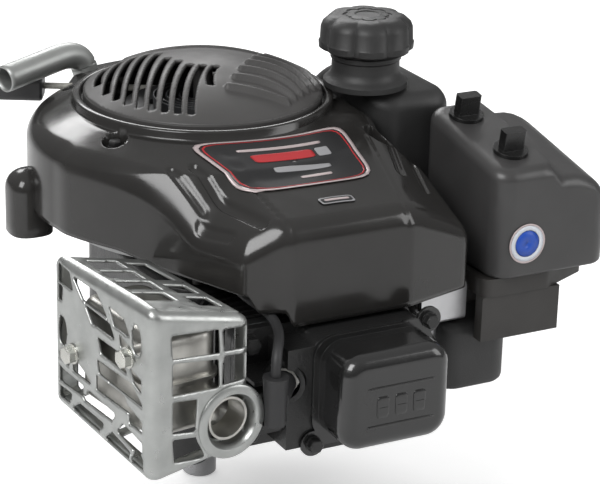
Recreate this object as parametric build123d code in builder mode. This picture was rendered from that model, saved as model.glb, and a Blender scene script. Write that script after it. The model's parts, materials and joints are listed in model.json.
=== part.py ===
from build123d import *
import os
from math import acos, atan2, cos, degrees, pi, radians, sin, sqrt, tan

os.makedirs("parts", exist_ok=True)

# Small vertical-shaft petrol engine. Millimetres. Origin: crankshaft axis on the sump's mounting face.
# +Z up the crankshaft, cylinder head towards -Y, camshaft, air cleaner and tank on the +X side.

# ---- driving dimensions -------------------------------------------------------------------------
bore = 68.3
stroke = 51.8
rod_length = 90.0
bore_z = 71.0                    # height of the cylinder axis above the mounting face
deck_y = -146.3                  # joint between cylinder and head
piston_top_y = -145.9            # crown at top dead centre
running_gap = 0.05               # radial clearance of shafts and pistons
gasket = 0.6
casting = 4.0                    # wall of the castings
moulding = 2.5                   # wall of the plastic mouldings

pto_radius = 11.1                # power take-off shaft
pto_length = 60.0                # below the mounting face
pto_shoulder = 2.0               # the journal ends this far below the face
journal_radius = 12.5
mount_circle = 203.2             # three-hole mounting circle
mount_hole_radius = 4.2
first_mount_angle = 0.0          # from +X, the other two holes follow at 120 degrees

sump_height = 30.0
case_top_z = 112.0
gear_module = 2.0
crank_teeth = 22
cam_teeth = 44
gear_z = 13.0
gear_width = 8.0
cam_x = 54.0
valve_x = 6.0
valve_spread = 14.5              # each valve above or below the bore axis
rocker_x = 29.0
rocker_y = -190.0
tappet_radius = 5.5

head_left, head_right, head_front = -50.0, 66.0, -178.0
head_low, head_high = 33.5, 108.5
cover_face_y = -211.0            # front of the valve cover
fly_z = 122.0
fly_radius = 88.0
drum_radius = 110.0              # round part of the blower housing
housing_low = 109.5
drum_top_z = 199.0
dome_radius = 75.0
dome_z = 205.0
cap_x, cap_y, cap_top = 99.0, -30.0, 250.0

# ---- worked out from them -----------------------------------------------------------------------
throw = stroke / 2
piston_radius = bore / 2 - running_gap
wrist_y = -(throw + rod_length)
gear_centres = gear_module * (crank_teeth + cam_teeth) / 2
cam_y = -sqrt(gear_centres**2 - cam_x**2)
intake_z = bore_z + valve_spread
exhaust_z = bore_z - valve_spread
case_z = sump_height + gasket
head_back = deck_y - gasket


def y_plane(y):
    """Plane across the Y axis: sketch x is +X, sketch y is -Z, and extrusion goes to +Y."""
    return Plane(origin=(0, y, 0), x_dir=(1, 0, 0), z_dir=(0, 1, 0))


def x_plane(x):
    """Plane across the X axis: sketch x is +Y, sketch y is +Z, and extrusion goes to +X."""
    return Plane(origin=(x, 0, 0), x_dir=(0, 1, 0), z_dir=(1, 0, 0))


def flange_bolt(thread_radius, thread_length, head_width, head_height, washer=1.0):
    """Flange bolt: underside of the head at the origin, head towards +Z, thread down."""
    with BuildPart() as bolt:
        with BuildSketch():
            Circle(head_width * 0.62)
        extrude(amount=washer)
        with BuildSketch(Plane.XY.offset(washer)):
            RegularPolygon(head_width / 2, 6, major_radius=False)
        extrude(amount=head_height)
        chamfer(bolt.edges().group_by(Axis.Z)[-1], head_height * 0.15)
        with BuildSketch():
            Circle(thread_radius)
        extrude(amount=-thread_length)
    return bolt.part


def tube_run(points, radius):
    """Round bar through the points, with a ball at each corner."""
    with BuildPart() as run:
        for start, end in zip(points, points[1:]):
            along = Vector(*end) - Vector(*start)
            with BuildSketch(Plane(origin=start, z_dir=along)):
                Circle(radius)
            extrude(amount=along.length)
        for corner in points[1:-1]:
            with Locations(corner):
                Sphere(radius)
    return run.part


# ---- crankcase and cylinder ---------------------------------------------------------------------
case_left, case_right, case_front, case_back = -62.0, 108.0, -92.0, 62.0
case_middle = ((case_left + case_right) / 2, (case_front + case_back) / 2)
case_size = (case_right - case_left, case_back - case_front)
case_corner = 30.0
barrel_radius = 40.0
barrel_end_y = -57.0              # the cylinder wall reaches into the crankcase to here
fin_count = 6
fin_pitch = 7.5
fin_thickness = 2.2
sump_bolt_places = [
    (case_left - 3, -40), (case_left - 3, 10), (-20, case_back + 3), (56, case_back + 3),
    (case_right + 3, 10), (case_right + 3, -46), (78, case_front - 3), (-30, case_front - 3),
]
sump_bolt_radius = 3.0
ear_radius = 8.0
tappet_boss_end = -64.0
governor_x, governor_y = 83.0, -82.0
governor_shaft_radius = 3.0
head_bolt_places = [(-41, bore_z - 28), (-41, bore_z + 28), (39, bore_z - 14), (38, bore_z + 26)]
head_bolt_radius = 4.0


def case_outline(inset):
    """Rounded plan outline of the crankcase and of the sump."""
    with BuildSketch() as outline:
        with Locations(case_middle):
            RectangleRounded(case_size[0] - 2 * inset, case_size[1] - 2 * inset, case_corner - inset)
    return outline.sketch


with BuildPart() as crankcase:
    with BuildSketch(Plane.XY.offset(case_z)):
        add(case_outline(0))
    extrude(amount=case_top_z - case_z)
    fillet(crankcase.faces().sort_by(Axis.Z)[-1].edges(), 6)
    with BuildSketch(Plane.XY.offset(case_z)):
        with Locations(*sump_bolt_places):
            Circle(ear_radius)
    extrude(amount=14)
    with BuildSketch(Plane.XY.offset(case_top_z - 10)):
        Circle(24)
    extrude(amount=14)
    # barrel, fins, deck and pushrod tunnel
    with BuildSketch(y_plane(case_front + casting)):
        with Locations((0, -bore_z)):
            Circle(barrel_radius)
    extrude(amount=deck_y - case_front - casting)
    for number in range(fin_count):
        with BuildSketch(y_plane(deck_y + 10 + number * fin_pitch)):
            with Locations((-4, -bore_z)):
                RectangleRounded(88, 75, 10)
        extrude(amount=fin_thickness)
    with BuildSketch(y_plane(deck_y)):
        with Locations(((head_left + head_right) / 2, -(head_low + head_high) / 2)):
            RectangleRounded(head_right - head_left, head_high - head_low, 10)
    extrude(amount=7)
    with BuildSketch(y_plane(deck_y)):
        with Locations((cam_x, -bore_z)):
            RectangleRounded(20, 48, 5)
    extrude(amount=case_front + casting - deck_y)
    # inside, open below, with the cylinder wall standing into it
    with BuildSketch(Plane.XY.offset(case_z)):
        add(case_outline(casting))
    extrude(amount=case_top_z - case_z - 6, mode=Mode.SUBTRACT)
    with BuildSketch(y_plane(barrel_end_y)):
        with Locations((0, -bore_z)):
            Circle(barrel_radius)
    extrude(amount=case_front - barrel_end_y)
    with BuildSketch(y_plane(0)):
        with Locations((0, -bore_z)):
            Circle(bore / 2)
    extrude(amount=deck_y, mode=Mode.SUBTRACT)
    with BuildSketch(y_plane(tappet_boss_end)):
        with Locations((cam_x, -intake_z), (cam_x, -exhaust_z)):
            Circle(9)
    extrude(amount=case_front - tappet_boss_end)
    with BuildSketch(y_plane(tappet_boss_end)):
        with Locations((cam_x, -intake_z), (cam_x, -exhaust_z)):
            Circle(tappet_radius + running_gap)
    extrude(amount=deck_y - tappet_boss_end, mode=Mode.SUBTRACT)
    # main bearing, upper camshaft bearing, seal seat
    with BuildSketch(Plane.XY.offset(case_top_z - 16)):
        Circle(20)
        with Locations((cam_x, cam_y)):
            Circle(12)
    extrude(amount=14)
    with BuildSketch(Plane.XY.offset(case_top_z - 30)):
        Circle(journal_radius + running_gap)
    extrude(amount=60, mode=Mode.SUBTRACT)
    with BuildSketch(Plane.XY.offset(case_top_z - 30)):
        with Locations((cam_x, cam_y)):
            Circle(6.5 + running_gap)
    extrude(amount=26, mode=Mode.SUBTRACT)
    with BuildSketch(Plane.XY.offset(case_top_z - 4)):
        Circle(19)
    extrude(amount=20, mode=Mode.SUBTRACT)
    # governor shaft, and threaded holes for the sump and head bolts
    with BuildSketch(Plane.XY.offset(case_top_z - 10)):
        with Locations((governor_x, governor_y)):
            Circle(governor_shaft_radius + running_gap)
    extrude(amount=20, mode=Mode.SUBTRACT)
    with BuildSketch(Plane.XY.offset(case_z)):
        with Locations(*sump_bolt_places):
            Circle(sump_bolt_radius + running_gap)
    extrude(amount=12, mode=Mode.SUBTRACT)
    with BuildSketch(y_plane(deck_y)):
        with Locations(*[(x, -z) for x, z in head_bolt_places]):
            Circle(head_bolt_radius + running_gap)
    extrude(amount=30, mode=Mode.SUBTRACT)
crankcase.part.label = "crankcase"
export_step(crankcase.part, "parts/crankcase.step")

# ---- sump ---------------------------------------------------------------------------------------
filler_x = 20.0
filler_lean = 58.0               # degrees above level, leaning out of the way of the housing
filler_direction = (0, cos(radians(filler_lean)), sin(radians(filler_lean)))
filler_plane = Plane(origin=(filler_x, case_back + 6, 14), x_dir=(1, 0, 0), z_dir=filler_direction)
filler_radius = 9.9
sump_floor = 10.0
lug_radius = 13.0
lug_height = 26.0
lug_root = 50.0                  # the straps to the lugs start this far from the shaft

with BuildPart() as sump:
    with BuildSketch():
        add(case_outline(0))
    extrude(amount=sump_height)
    fillet(sump.faces().sort_by(Axis.Z)[0].edges(), 3)
    with BuildSketch(Plane.XY.offset(sump_floor)):
        add(case_outline(casting))
    extrude(amount=sump_height, mode=Mode.SUBTRACT)
    with BuildSketch():
        with PolarLocations(mount_circle / 2, 3, start_angle=first_mount_angle):
            Circle(lug_radius)
    extrude(amount=lug_height)
    with BuildSketch():
        with PolarLocations((lug_root + mount_circle / 2) / 2, 3, start_angle=first_mount_angle):
            Rectangle(mount_circle / 2 - lug_root, 2 * lug_radius)
    extrude(amount=sump_floor)
    with BuildSketch(Plane.XY.offset(sump_height - 12)):
        with Locations(*sump_bolt_places):
            Circle(ear_radius)
    extrude(amount=12)
    with BuildSketch(Plane.XY.offset(sump_floor - 2)):
        Circle(22)
        with Locations((cam_x, cam_y)):
            Circle(12)
    extrude(amount=4)
    with BuildSketch():
        Circle(journal_radius + running_gap)
    extrude(amount=sump_height, mode=Mode.SUBTRACT)
    with BuildSketch():
        Circle(19)
    extrude(amount=6, mode=Mode.SUBTRACT)
    with BuildSketch(Plane.XY.offset(3)):
        with Locations((cam_x, cam_y)):
            Circle(6.5 + running_gap)
    extrude(amount=sump_height, mode=Mode.SUBTRACT)
    with BuildSketch():
        with PolarLocations(mount_circle / 2, 3, start_angle=first_mount_angle):
            Circle(mount_hole_radius)
    extrude(amount=20, mode=Mode.SUBTRACT)
    with BuildSketch(Plane.XY.offset(sump_height - 14)):
        with Locations(*sump_bolt_places):
            Circle(sump_bolt_radius + 0.3)
    extrude(amount=20, mode=Mode.SUBTRACT)
    # room for the bolt heads below the ears
    with BuildSketch(Plane.XY.offset(sump_height - 12)):
        with Locations(*sump_bolt_places):
            Circle(6.7)
    extrude(amount=-10, mode=Mode.SUBTRACT)
    # oil filler stub at the back, with its passage into the sump
    with BuildSketch(filler_plane.offset(-4)):
        Circle(13)
    extrude(amount=20)
    with BuildSketch(filler_plane.offset(2)):
        Circle(filler_radius + running_gap)
    extrude(amount=40, mode=Mode.SUBTRACT)
    with BuildSketch(y_plane(case_back - 14)):
        with Locations((filler_x, -16)):
            Circle(5)
    extrude(amount=20, mode=Mode.SUBTRACT)
sump.part.label = "sump"
export_step(sump.part, "parts/sump.step")

with BuildPart() as sump_gasket:
    with BuildSketch(Plane.XY.offset(sump_height)):
        add(case_outline(0))
        with Locations(*sump_bolt_places):
            Circle(ear_radius)
        add(case_outline(casting), mode=Mode.SUBTRACT)
        with Locations(*sump_bolt_places):
            Circle(sump_bolt_radius + 0.3, mode=Mode.SUBTRACT)
    extrude(amount=gasket)
sump_gasket.part.label = "sump_gasket"
export_step(sump_gasket.part, "parts/sump_gasket.step")

small_bolt = flange_bolt(sump_bolt_radius, 23, 10, 5)
with BuildPart() as sump_bolts:
    with Locations(*[Location((x, y, sump_height - 12), (180, 0, 0)) for x, y in sump_bolt_places]):
        add(small_bolt)
sump_bolts.part.label = "sump_bolts"
export_step(sump_bolts.part, "parts/sump_bolts.step")

with BuildPart() as oil_seals:
    with BuildSketch():
        Circle(19)
        Circle(journal_radius + running_gap, mode=Mode.SUBTRACT)
    extrude(amount=6)
    with BuildSketch(Plane.XY.offset(case_top_z - 4)):
        Circle(19)
        Circle(journal_radius + running_gap, mode=Mode.SUBTRACT)
    extrude(amount=8)
oil_seals.part.label = "oil_seals"
export_step(oil_seals.part, "parts/oil_seals.step")

# ---- oil filler and dipstick ----------------------------------------------------------------------
filler_length = 108.0
filler_bore = 7.5

with BuildPart() as oil_fill_tube:
    with BuildSketch(filler_plane.offset(2)):
        Circle(filler_radius)
    extrude(amount=filler_length - 2)
    for low, thick in ((16, 4), (filler_length - 10, 10)):
        with BuildSketch(filler_plane.offset(low)):
            Circle(13)
        extrude(amount=thick)
    with BuildSketch(filler_plane):
        Circle(filler_bore)
    extrude(amount=filler_length + 10, mode=Mode.SUBTRACT)
oil_fill_tube.part.label = "oil_fill_tube"
export_step(oil_fill_tube.part, "parts/oil_fill_tube.step")

with BuildPart() as dipstick:
    with BuildSketch(filler_plane.offset(filler_length)):
        RegularPolygon(13, 8)
    extrude(amount=6)
    with BuildSketch(filler_plane.offset(filler_length + 6)):
        RectangleRounded(22, 5, 2)
    extrude(amount=8)
    with BuildSketch(filler_plane.offset(filler_length)):
        Circle(filler_bore - 0.5)
    extrude(amount=-8)
    with BuildSketch(filler_plane.offset(6)):
        Rectangle(5, 1.2)
    extrude(amount=filler_length - 10)
dipstick.part.label = "dipstick"
export_step(dipstick.part, "parts/dipstick.step")

# ---- crankshaft, rod and piston -------------------------------------------------------------------
rod_half = 10.0                  # half the width of the big end
web_gap = 0.6
web_thickness = 12.0
web_radius = 43.0
pin_radius = 14.0
big_end_radius = 19.0
web_low_z = bore_z - rod_half - web_gap - web_thickness
web_high_z = bore_z + rod_half + web_gap

def involute_gear(teeth, turn):
    """Spur gear sketch with involute flanks; one tooth points along the angle turn, in degrees."""
    pitch_radius = gear_module * teeth / 2
    base_radius = pitch_radius * cos(radians(20))
    tip_radius = pitch_radius + 0.9 * gear_module
    root_radius = pitch_radius - 1.2 * gear_module
    backlash = 0.25
    pitch_half = pi / (2 * teeth) - backlash / (2 * pitch_radius)
    involute_at_pitch = tan(radians(20)) - radians(20)

    def flank_angle(radius):
        if radius <= base_radius:
            return pitch_half + involute_at_pitch
        pressure = acos(base_radius / radius)
        return pitch_half + involute_at_pitch - (tan(pressure) - pressure)

    steps = 4
    radii = [root_radius + (tip_radius - root_radius) * step / steps for step in range(steps + 1)]
    points = []
    for tooth in range(teeth):
        middle = radians(turn) + 2 * pi * tooth / teeth
        for radius in radii:
            angle = middle - flank_angle(radius)
            points.append((radius * cos(angle), radius * sin(angle)))
        for radius in reversed(radii):
            angle = middle + flank_angle(radius)
            points.append((radius * cos(angle), radius * sin(angle)))
    with BuildSketch() as outline:
        with BuildLine():
            Polyline(*points, close=True)
        make_face()
    return outline.sketch


line_of_centres = degrees(atan2(cam_y, cam_x))
with BuildPart() as crankshaft:
    for height in (web_low_z, web_high_z):
        with BuildSketch(Plane.XY.offset(height)):
            Circle(web_radius)
            with Locations((-web_radius, -web_radius * 0.62), (web_radius, -web_radius * 0.62)):
                Rectangle(1.2 * web_radius, 1.3 * web_radius, mode=Mode.SUBTRACT)
        extrude(amount=web_thickness)
    with BuildSketch(Plane.XY.offset(web_high_z)):
        Circle(journal_radius)
    extrude(amount=fly_z - web_high_z)
    with BuildSketch(Plane.XY.offset(fly_z)):
        Circle(journal_radius)
    with BuildSketch(Plane.XY.offset(fly_z + 36)):
        Circle(8.5)
    loft()
    with BuildSketch(Plane.XY.offset(fly_z + 36)):
        Circle(8)
    extrude(amount=14)
    with BuildSketch(Plane.XY.offset(web_low_z + web_thickness)):
        Circle(journal_radius)
    extrude(amount=-(web_low_z + web_thickness + pto_shoulder))
    with BuildSketch(Plane.XY.offset(-pto_shoulder)):
        Circle(pto_radius)
    extrude(amount=-(pto_length - pto_shoulder))
    chamfer(crankshaft.edges().group_by(Axis.Z)[0], 1)
    with BuildSketch(Plane.XY.offset(gear_z)):
        add(involute_gear(crank_teeth, line_of_centres))
    extrude(amount=gear_width)
    # keyway and tapped end of the power take-off
    with BuildSketch(Plane.XY.offset(-pto_length)):
        with Locations((pto_radius, 0)):
            Rectangle(5, 4.8)
    extrude(amount=38, mode=Mode.SUBTRACT)
    with BuildSketch(Plane.XY.offset(-pto_length)):
        Circle(4)
    extrude(amount=25, mode=Mode.SUBTRACT)
crankshaft.part.label = "crankshaft"
export_step(crankshaft.part, "parts/crankshaft.step")


cam_gear_outline = involute_gear(cam_teeth, line_of_centres + 180 + 180 / cam_teeth)
lobe_base = 11.5
lobe_lift = 6.0
lobe_nose = 6.0
lobe_width = 8.0
lobe_reach = lobe_base + lobe_lift
with BuildPart() as camshaft:
    with BuildSketch(Plane.XY.offset(3.5)):
        with Locations((cam_x, cam_y)):
            Circle(6.5)
    extrude(amount=case_top_z - 4.5 - 3.5)
    with BuildSketch(Plane.XY.offset(gear_z)):
        with Locations((cam_x, cam_y)):
            add(cam_gear_outline)
    extrude(amount=gear_width)
    for height, turn in ((intake_z, 60), (exhaust_z, 165)):
        with BuildSketch(Plane.XY.offset(height - lobe_width / 2)):
            with Locations((cam_x, cam_y)):
                Circle(lobe_base)
                with PolarLocations(lobe_reach - lobe_nose, 1, start_angle=turn):
                    Circle(lobe_nose)
            make_hull()
        extrude(amount=lobe_width)
camshaft.part.label = "camshaft"
export_step(camshaft.part, "parts/camshaft.step")

with BuildPart() as crankpin:
    with BuildSketch(Plane.XY.offset(bore_z - rod_half - web_gap / 2)):
        with Locations((0, -throw)):
            Circle(pin_radius)
    extrude(amount=2 * rod_half + web_gap)
crankpin.part.label = "crankpin"
export_step(crankpin.part, "parts/crankpin.step")

pin_bore = pin_radius + 0.02
with BuildPart() as connecting_rod:
    with BuildSketch(Plane.XY.offset(bore_z - rod_half)):
        with Locations((0, -throw)):
            Circle(big_end_radius)
        with Locations((0, -throw - 20)):
            Rectangle(30, 40)
        with Locations((0, -throw)):
            Rectangle(60, 60, align=(Align.CENTER, Align.MIN), mode=Mode.SUBTRACT)
        with Locations((-20, -throw - 35), (20, -throw - 35)):
            Rectangle(24, 30, mode=Mode.SUBTRACT)
    extrude(amount=2 * rod_half)
    with BuildSketch(Plane.XY.offset(bore_z - 6)):
        with BuildLine():
            Polyline((-9, -throw - 15), (9, -throw - 15), (7, wrist_y), (-7, wrist_y), close=True)
        make_face()
        with Locations((0, wrist_y)):
            Circle(11.5)
    extrude(amount=12)
    with BuildSketch(Plane.XY.offset(bore_z - 2 * rod_half)):
        with Locations((0, wrist_y)):
            Circle(8 + 0.02)
        with Locations((0, -throw)):
            Circle(pin_bore)
    extrude(amount=4 * rod_half, mode=Mode.SUBTRACT)
connecting_rod.part.label = "connecting_rod"
export_step(connecting_rod.part, "parts/connecting_rod.step")

with BuildPart() as rod_cap:
    with BuildSketch(Plane.XY.offset(bore_z - rod_half)):
        with Locations((0, -throw)):
            Circle(big_end_radius)
            Rectangle(60, 60, align=(Align.CENTER, Align.MAX), mode=Mode.SUBTRACT)
            Circle(pin_bore, mode=Mode.SUBTRACT)
    extrude(amount=2 * rod_half)
rod_cap.part.label = "rod_cap"
export_step(rod_cap.part, "parts/rod_cap.step")

piston_length = 48.0
ring_grooves = (5.0, 10.0, 15.0)
ring_height = 2.0
ring_inner = 30.6
with BuildPart() as piston:
    with BuildSketch(y_plane(piston_top_y)):
        with Locations((0, -bore_z)):
            Circle(piston_radius)
    extrude(amount=piston_length)
    with BuildSketch(y_plane(piston_top_y + 17)):
        with Locations((0, -bore_z)):
            Circle(piston_radius - 5)
    extrude(amount=piston_length, mode=Mode.SUBTRACT)
    for groove in ring_grooves:
        with BuildSketch(y_plane(piston_top_y + groove)):
            with Locations((0, -bore_z)):
                Circle(piston_radius + 1)
                Circle(ring_inner - 0.1, mode=Mode.SUBTRACT)
        extrude(amount=ring_height, mode=Mode.SUBTRACT)
    # wrist pin bosses
    for low in (bore_z - 31, bore_z + 12):
        with BuildSketch(Plane.XY.offset(low)):
            with Locations((0, wrist_y)):
                Circle(12)
        extrude(amount=19)
    with BuildSketch(Plane.XY.offset(bore_z - 40)):
        with Locations((0, wrist_y)):
            Circle(8 + 0.01)
    extrude(amount=80, mode=Mode.SUBTRACT)
piston.part.label = "piston"
export_step(piston.part, "parts/piston.step")

with BuildPart() as piston_rings:
    for groove in ring_grooves:
        with BuildSketch(y_plane(piston_top_y + groove + 0.05)):
            with Locations((0, -bore_z)):
                Circle(bore / 2 - 0.01)
                Circle(ring_inner, mode=Mode.SUBTRACT)
        extrude(amount=ring_height - 0.1)
piston_rings.part.label = "piston_rings"
export_step(piston_rings.part, "parts/piston_rings.step")

with BuildPart() as wrist_pin:
    with BuildSketch(Plane.XY.offset(bore_z - 30)):
        with Locations((0, wrist_y)):
            Circle(8)
            Circle(5, mode=Mode.SUBTRACT)
    extrude(amount=60)
wrist_pin.part.label = "wrist_pin"
export_step(wrist_pin.part, "parts/wrist_pin.step")

# ---- cylinder head --------------------------------------------------------------------------------
chamber_radius = 32.0
chamber_depth = 9.0
chamber_y = head_back - chamber_depth
valve_face_y = -152.5
stem_radius = 2.75
port_y = -162.0
intake_port_z = bore_z
exhaust_port_z = exhaust_z + 5
port_radius = 7.5
spring_seat_y = -171.0
head_middle = ((head_left + head_right) / 2, -(head_low + head_high) / 2)
head_size = (head_right - head_left, head_high - head_low)
plug_z = bore_z + 10
plug_start = (-14.0, -153.0, plug_z)
plug_direction = Vector(-0.6, -0.8, 0)
plug_plane = Plane(origin=plug_start, z_dir=plug_direction)
valves = {"intake": (intake_z, 14.0), "exhaust": (exhaust_z, 12.5)}
pushrod_places = [(cam_x, -intake_z), (cam_x, -exhaust_z)]

with BuildPart() as head_gasket:
    with BuildSketch(y_plane(head_back)):
        with Locations(head_middle):
            RectangleRounded(*head_size, 10)
        with Locations((0, -bore_z)):
            Circle(bore / 2 + 0.8, mode=Mode.SUBTRACT)
        with Locations(*pushrod_places):
            Circle(6, mode=Mode.SUBTRACT)
        with Locations(*[(x, -z) for x, z in head_bolt_places]):
            Circle(head_bolt_radius + 0.3, mode=Mode.SUBTRACT)
    extrude(amount=gasket)
head_gasket.part.label = "head_gasket"
export_step(head_gasket.part, "parts/head_gasket.step")

with BuildPart() as cylinder_head:
    with BuildSketch(y_plane(head_back)):
        with Locations(head_middle):
            RectangleRounded(*head_size, 10)
    extrude(amount=-6)
    with BuildSketch(y_plane(head_back)):
        with Locations(((-14 + head_right) / 2, head_middle[1])):
            RectangleRounded(head_right + 14, head_size[1] - 4, 10)
        with Locations((-11, head_middle[1])):
            Rectangle(36, head_size[1] - 12)
    extrude(amount=head_front - head_back)
    # cooling fins on the plug side
    for number in range(5):
        with BuildSketch(Plane.XY.offset(bore_z - 15 + number * 7)):
            with Locations((-28, (head_back + head_front) / 2)):
                Rectangle(44, head_back - head_front)
        extrude(amount=2.4)
    with BuildSketch(plug_plane.offset(12)):
        Circle(13)
    extrude(amount=14)
    with BuildSketch(x_plane(head_left)):
        with Locations((port_y, exhaust_port_z)):
            Rectangle(26, 20)
    extrude(amount=40)
    with BuildSketch(y_plane(head_back)):
        with Locations((0, -bore_z)):
            Circle(chamber_radius)
    extrude(amount=-chamber_depth, mode=Mode.SUBTRACT)
    for height, radius in valves.values():
        with BuildSketch(y_plane(chamber_y)):
            with Locations((valve_x, -height)):
                Circle(radius - 2)
        extrude(amount=-12, mode=Mode.SUBTRACT)
        with BuildSketch(y_plane(chamber_y)):
            with Locations((valve_x, -height)):
                Circle(stem_radius + running_gap)
        extrude(amount=-40, mode=Mode.SUBTRACT)
        with BuildSketch(y_plane(spring_seat_y)):
            with Locations((valve_x, -height)):
                Circle(11.5)
        extrude(amount=-20, mode=Mode.SUBTRACT)
    with BuildSketch(x_plane(head_left - 1)):
        with Locations((port_y, exhaust_port_z)):
            Circle(port_radius)
    extrude(amount=valve_x - head_left + 1, mode=Mode.SUBTRACT)
    with BuildSketch(x_plane(valve_x)):
        with Locations((port_y, intake_port_z)):
            Circle(port_radius)
    extrude(amount=head_right, mode=Mode.SUBTRACT)
    with BuildSketch(y_plane(head_back)):
        with Locations(*pushrod_places):
            Circle(6)
        with Locations(*[(x, -z) for x, z in head_bolt_places]):
            Circle(head_bolt_radius + 0.3)
    extrude(amount=-60, mode=Mode.SUBTRACT)
    with BuildSketch(plug_plane):
        Circle(6.5 + 0.05)
    extrude(amount=60, both=True, mode=Mode.SUBTRACT)
    with BuildSketch(plug_plane.offset(14)):
        Circle(10)
    extrude(amount=60, mode=Mode.SUBTRACT)
    with BuildSketch(y_plane(head_front)):
        with Locations((rocker_x, -intake_z), (rocker_x, -exhaust_z)):
            Circle(3.02)
    extrude(amount=9, mode=Mode.SUBTRACT)
cylinder_head.part.label = "cylinder_head"
export_step(cylinder_head.part, "parts/cylinder_head.step")

long_head_bolt = flange_bolt(head_bolt_radius, 55, 10, 5)
short_head_bolt = flange_bolt(head_bolt_radius, 32, 10, 5)
with BuildPart() as head_bolts:
    for x, z in head_bolt_places:
        inside_cover = x > 0
        with Locations(Location((x, head_front if inside_cover else head_back - 6, z), (90, 0, 0))):
            add(long_head_bolt if inside_cover else short_head_bolt)
head_bolts.part.label = "head_bolts"
export_step(head_bolts.part, "parts/head_bolts.step")

# ---- valves, springs, rockers, pushrods and tappets -----------------------------------------------
retainer_y = -184.0
retainer_radius = 9.3
stem_tip_y = rocker_y + 3.05
valve_parts = {}
for name, (height, radius) in valves.items():
    with BuildPart() as valve:
        with BuildSketch(y_plane(valve_face_y)):
            with Locations((valve_x, -height)):
                Circle(radius)
        extrude(amount=-2.5)
        with BuildSketch(y_plane(valve_face_y)):
            with Locations((valve_x, -height)):
                Circle(stem_radius)
        extrude(amount=stem_tip_y - valve_face_y)
        with BuildSketch(y_plane(retainer_y)):
            with Locations((valve_x, -height)):
                Circle(retainer_radius)
        extrude(amount=2)
    valve_parts[name] = valve
valve_parts["intake"].part.label = "intake_valve"
export_step(valve_parts["intake"].part, "parts/intake_valve.step")
valve_parts["exhaust"].part.label = "exhaust_valve"
export_step(valve_parts["exhaust"].part, "parts/exhaust_valve.step")

spring_turns = 4
with BuildPart() as valve_springs:
    for height in (intake_z, exhaust_z):
        spring_length = spring_seat_y - retainer_y - 2 - 2.4
        with BuildLine():
            coil = Helix(
                pitch=spring_length / spring_turns, height=spring_length, radius=8.4,
                center=(valve_x, spring_seat_y - 1.2, height), direction=(0, -1, 0),
            )
        with BuildSketch(Plane(origin=coil @ 0, z_dir=coil % 0)):
            Circle(1.1)
        sweep(is_frenet=True)
valve_springs.part.label = "valve_springs"
export_step(valve_springs.part, "parts/valve_springs.step")

rocker_parts = {}
pushrod_parts = {}
tappet_parts = {}
tappet_face_y = cam_y - lobe_reach - 0.1
tappet_end_y = tappet_face_y - 29
for name, (height, radius) in valves.items():
    with BuildPart() as rocker:
        with BuildSketch(y_plane(rocker_y - 2)):
            with Locations(((valve_x + cam_x) / 2, -height)):
                SlotOverall(cam_x - valve_x + 9, 10)
            with Locations((rocker_x, -height)):
                Circle(6)
                Circle(4.2, mode=Mode.SUBTRACT)
        extrude(amount=4)
        with Locations((valve_x, rocker_y, height), (cam_x, rocker_y, height)):
            Cylinder(3, 8)
    rocker_parts[name] = rocker
    with BuildPart() as pushrod:
        with BuildSketch(y_plane(tappet_end_y - 0.05)):
            with Locations((cam_x, -height)):
                Circle(3)
        extrude(amount=rocker_y + 3.15 - tappet_end_y)
    pushrod_parts[name] = pushrod
    with BuildPart() as tappet:
        with BuildSketch(y_plane(tappet_face_y)):
            with Locations((cam_x, -height)):
                Circle(8)
        extrude(amount=-2)
        with BuildSketch(y_plane(tappet_face_y)):
            with Locations((cam_x, -height)):
                Circle(tappet_radius)
        extrude(amount=tappet_end_y - tappet_face_y)
    tappet_parts[name] = tappet
rocker_parts["intake"].part.label = "intake_rocker"
export_step(rocker_parts["intake"].part, "parts/intake_rocker.step")
rocker_parts["exhaust"].part.label = "exhaust_rocker"
export_step(rocker_parts["exhaust"].part, "parts/exhaust_rocker.step")
pushrod_parts["intake"].part.label = "intake_pushrod"
export_step(pushrod_parts["intake"].part, "parts/intake_pushrod.step")
pushrod_parts["exhaust"].part.label = "exhaust_pushrod"
export_step(pushrod_parts["exhaust"].part, "parts/exhaust_pushrod.step")
tappet_parts["intake"].part.label = "intake_tappet"
export_step(tappet_parts["intake"].part, "parts/intake_tappet.step")
tappet_parts["exhaust"].part.label = "exhaust_tappet"
export_step(tappet_parts["exhaust"].part, "parts/exhaust_tappet.step")

with BuildPart() as rocker_studs:
    for height in (intake_z, exhaust_z):
        with BuildSketch(y_plane(head_front + 8)):
            with Locations((rocker_x, -height)):
                Circle(3)
        extrude(amount=rocker_y - 12 - head_front - 8)
        with BuildSketch(y_plane(rocker_y - 4)):
            with Locations((rocker_x, -height)):
                RegularPolygon(5, 6)
        extrude(amount=-6)
rocker_studs.part.label = "rocker_studs"
export_step(rocker_studs.part, "parts/rocker_studs.step")

# ---- valve cover ----------------------------------------------------------------------------------
cover_left, cover_right = -9.0, 62.0
cover_low, cover_high = 45.5, 105.0
cover_middle = ((cover_left + cover_right) / 2, -(cover_low + cover_high) / 2)
cover_wall = 1.2
cover_flange = 2.0
cover_bolt_places = [
    (cover_left - 3, cover_low - 4), (cover_right + 1, cover_low - 3), (cover_right + 1, cover_high + 2),
]


def cover_block(inset, front):
    """Pressed dome of the valve cover, rounded along every edge."""
    with BuildPart() as block:
        with BuildSketch(y_plane(head_front)):
            with Locations(cover_middle):
                RectangleRounded(cover_right - cover_left - 2 * inset, cover_high - cover_low - 2 * inset,
                                 14 - inset)
        extrude(amount=front - head_front)
        fillet(block.faces().sort_by(Axis.Y)[0].edges(), 9 - inset)
    return block.part


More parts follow.
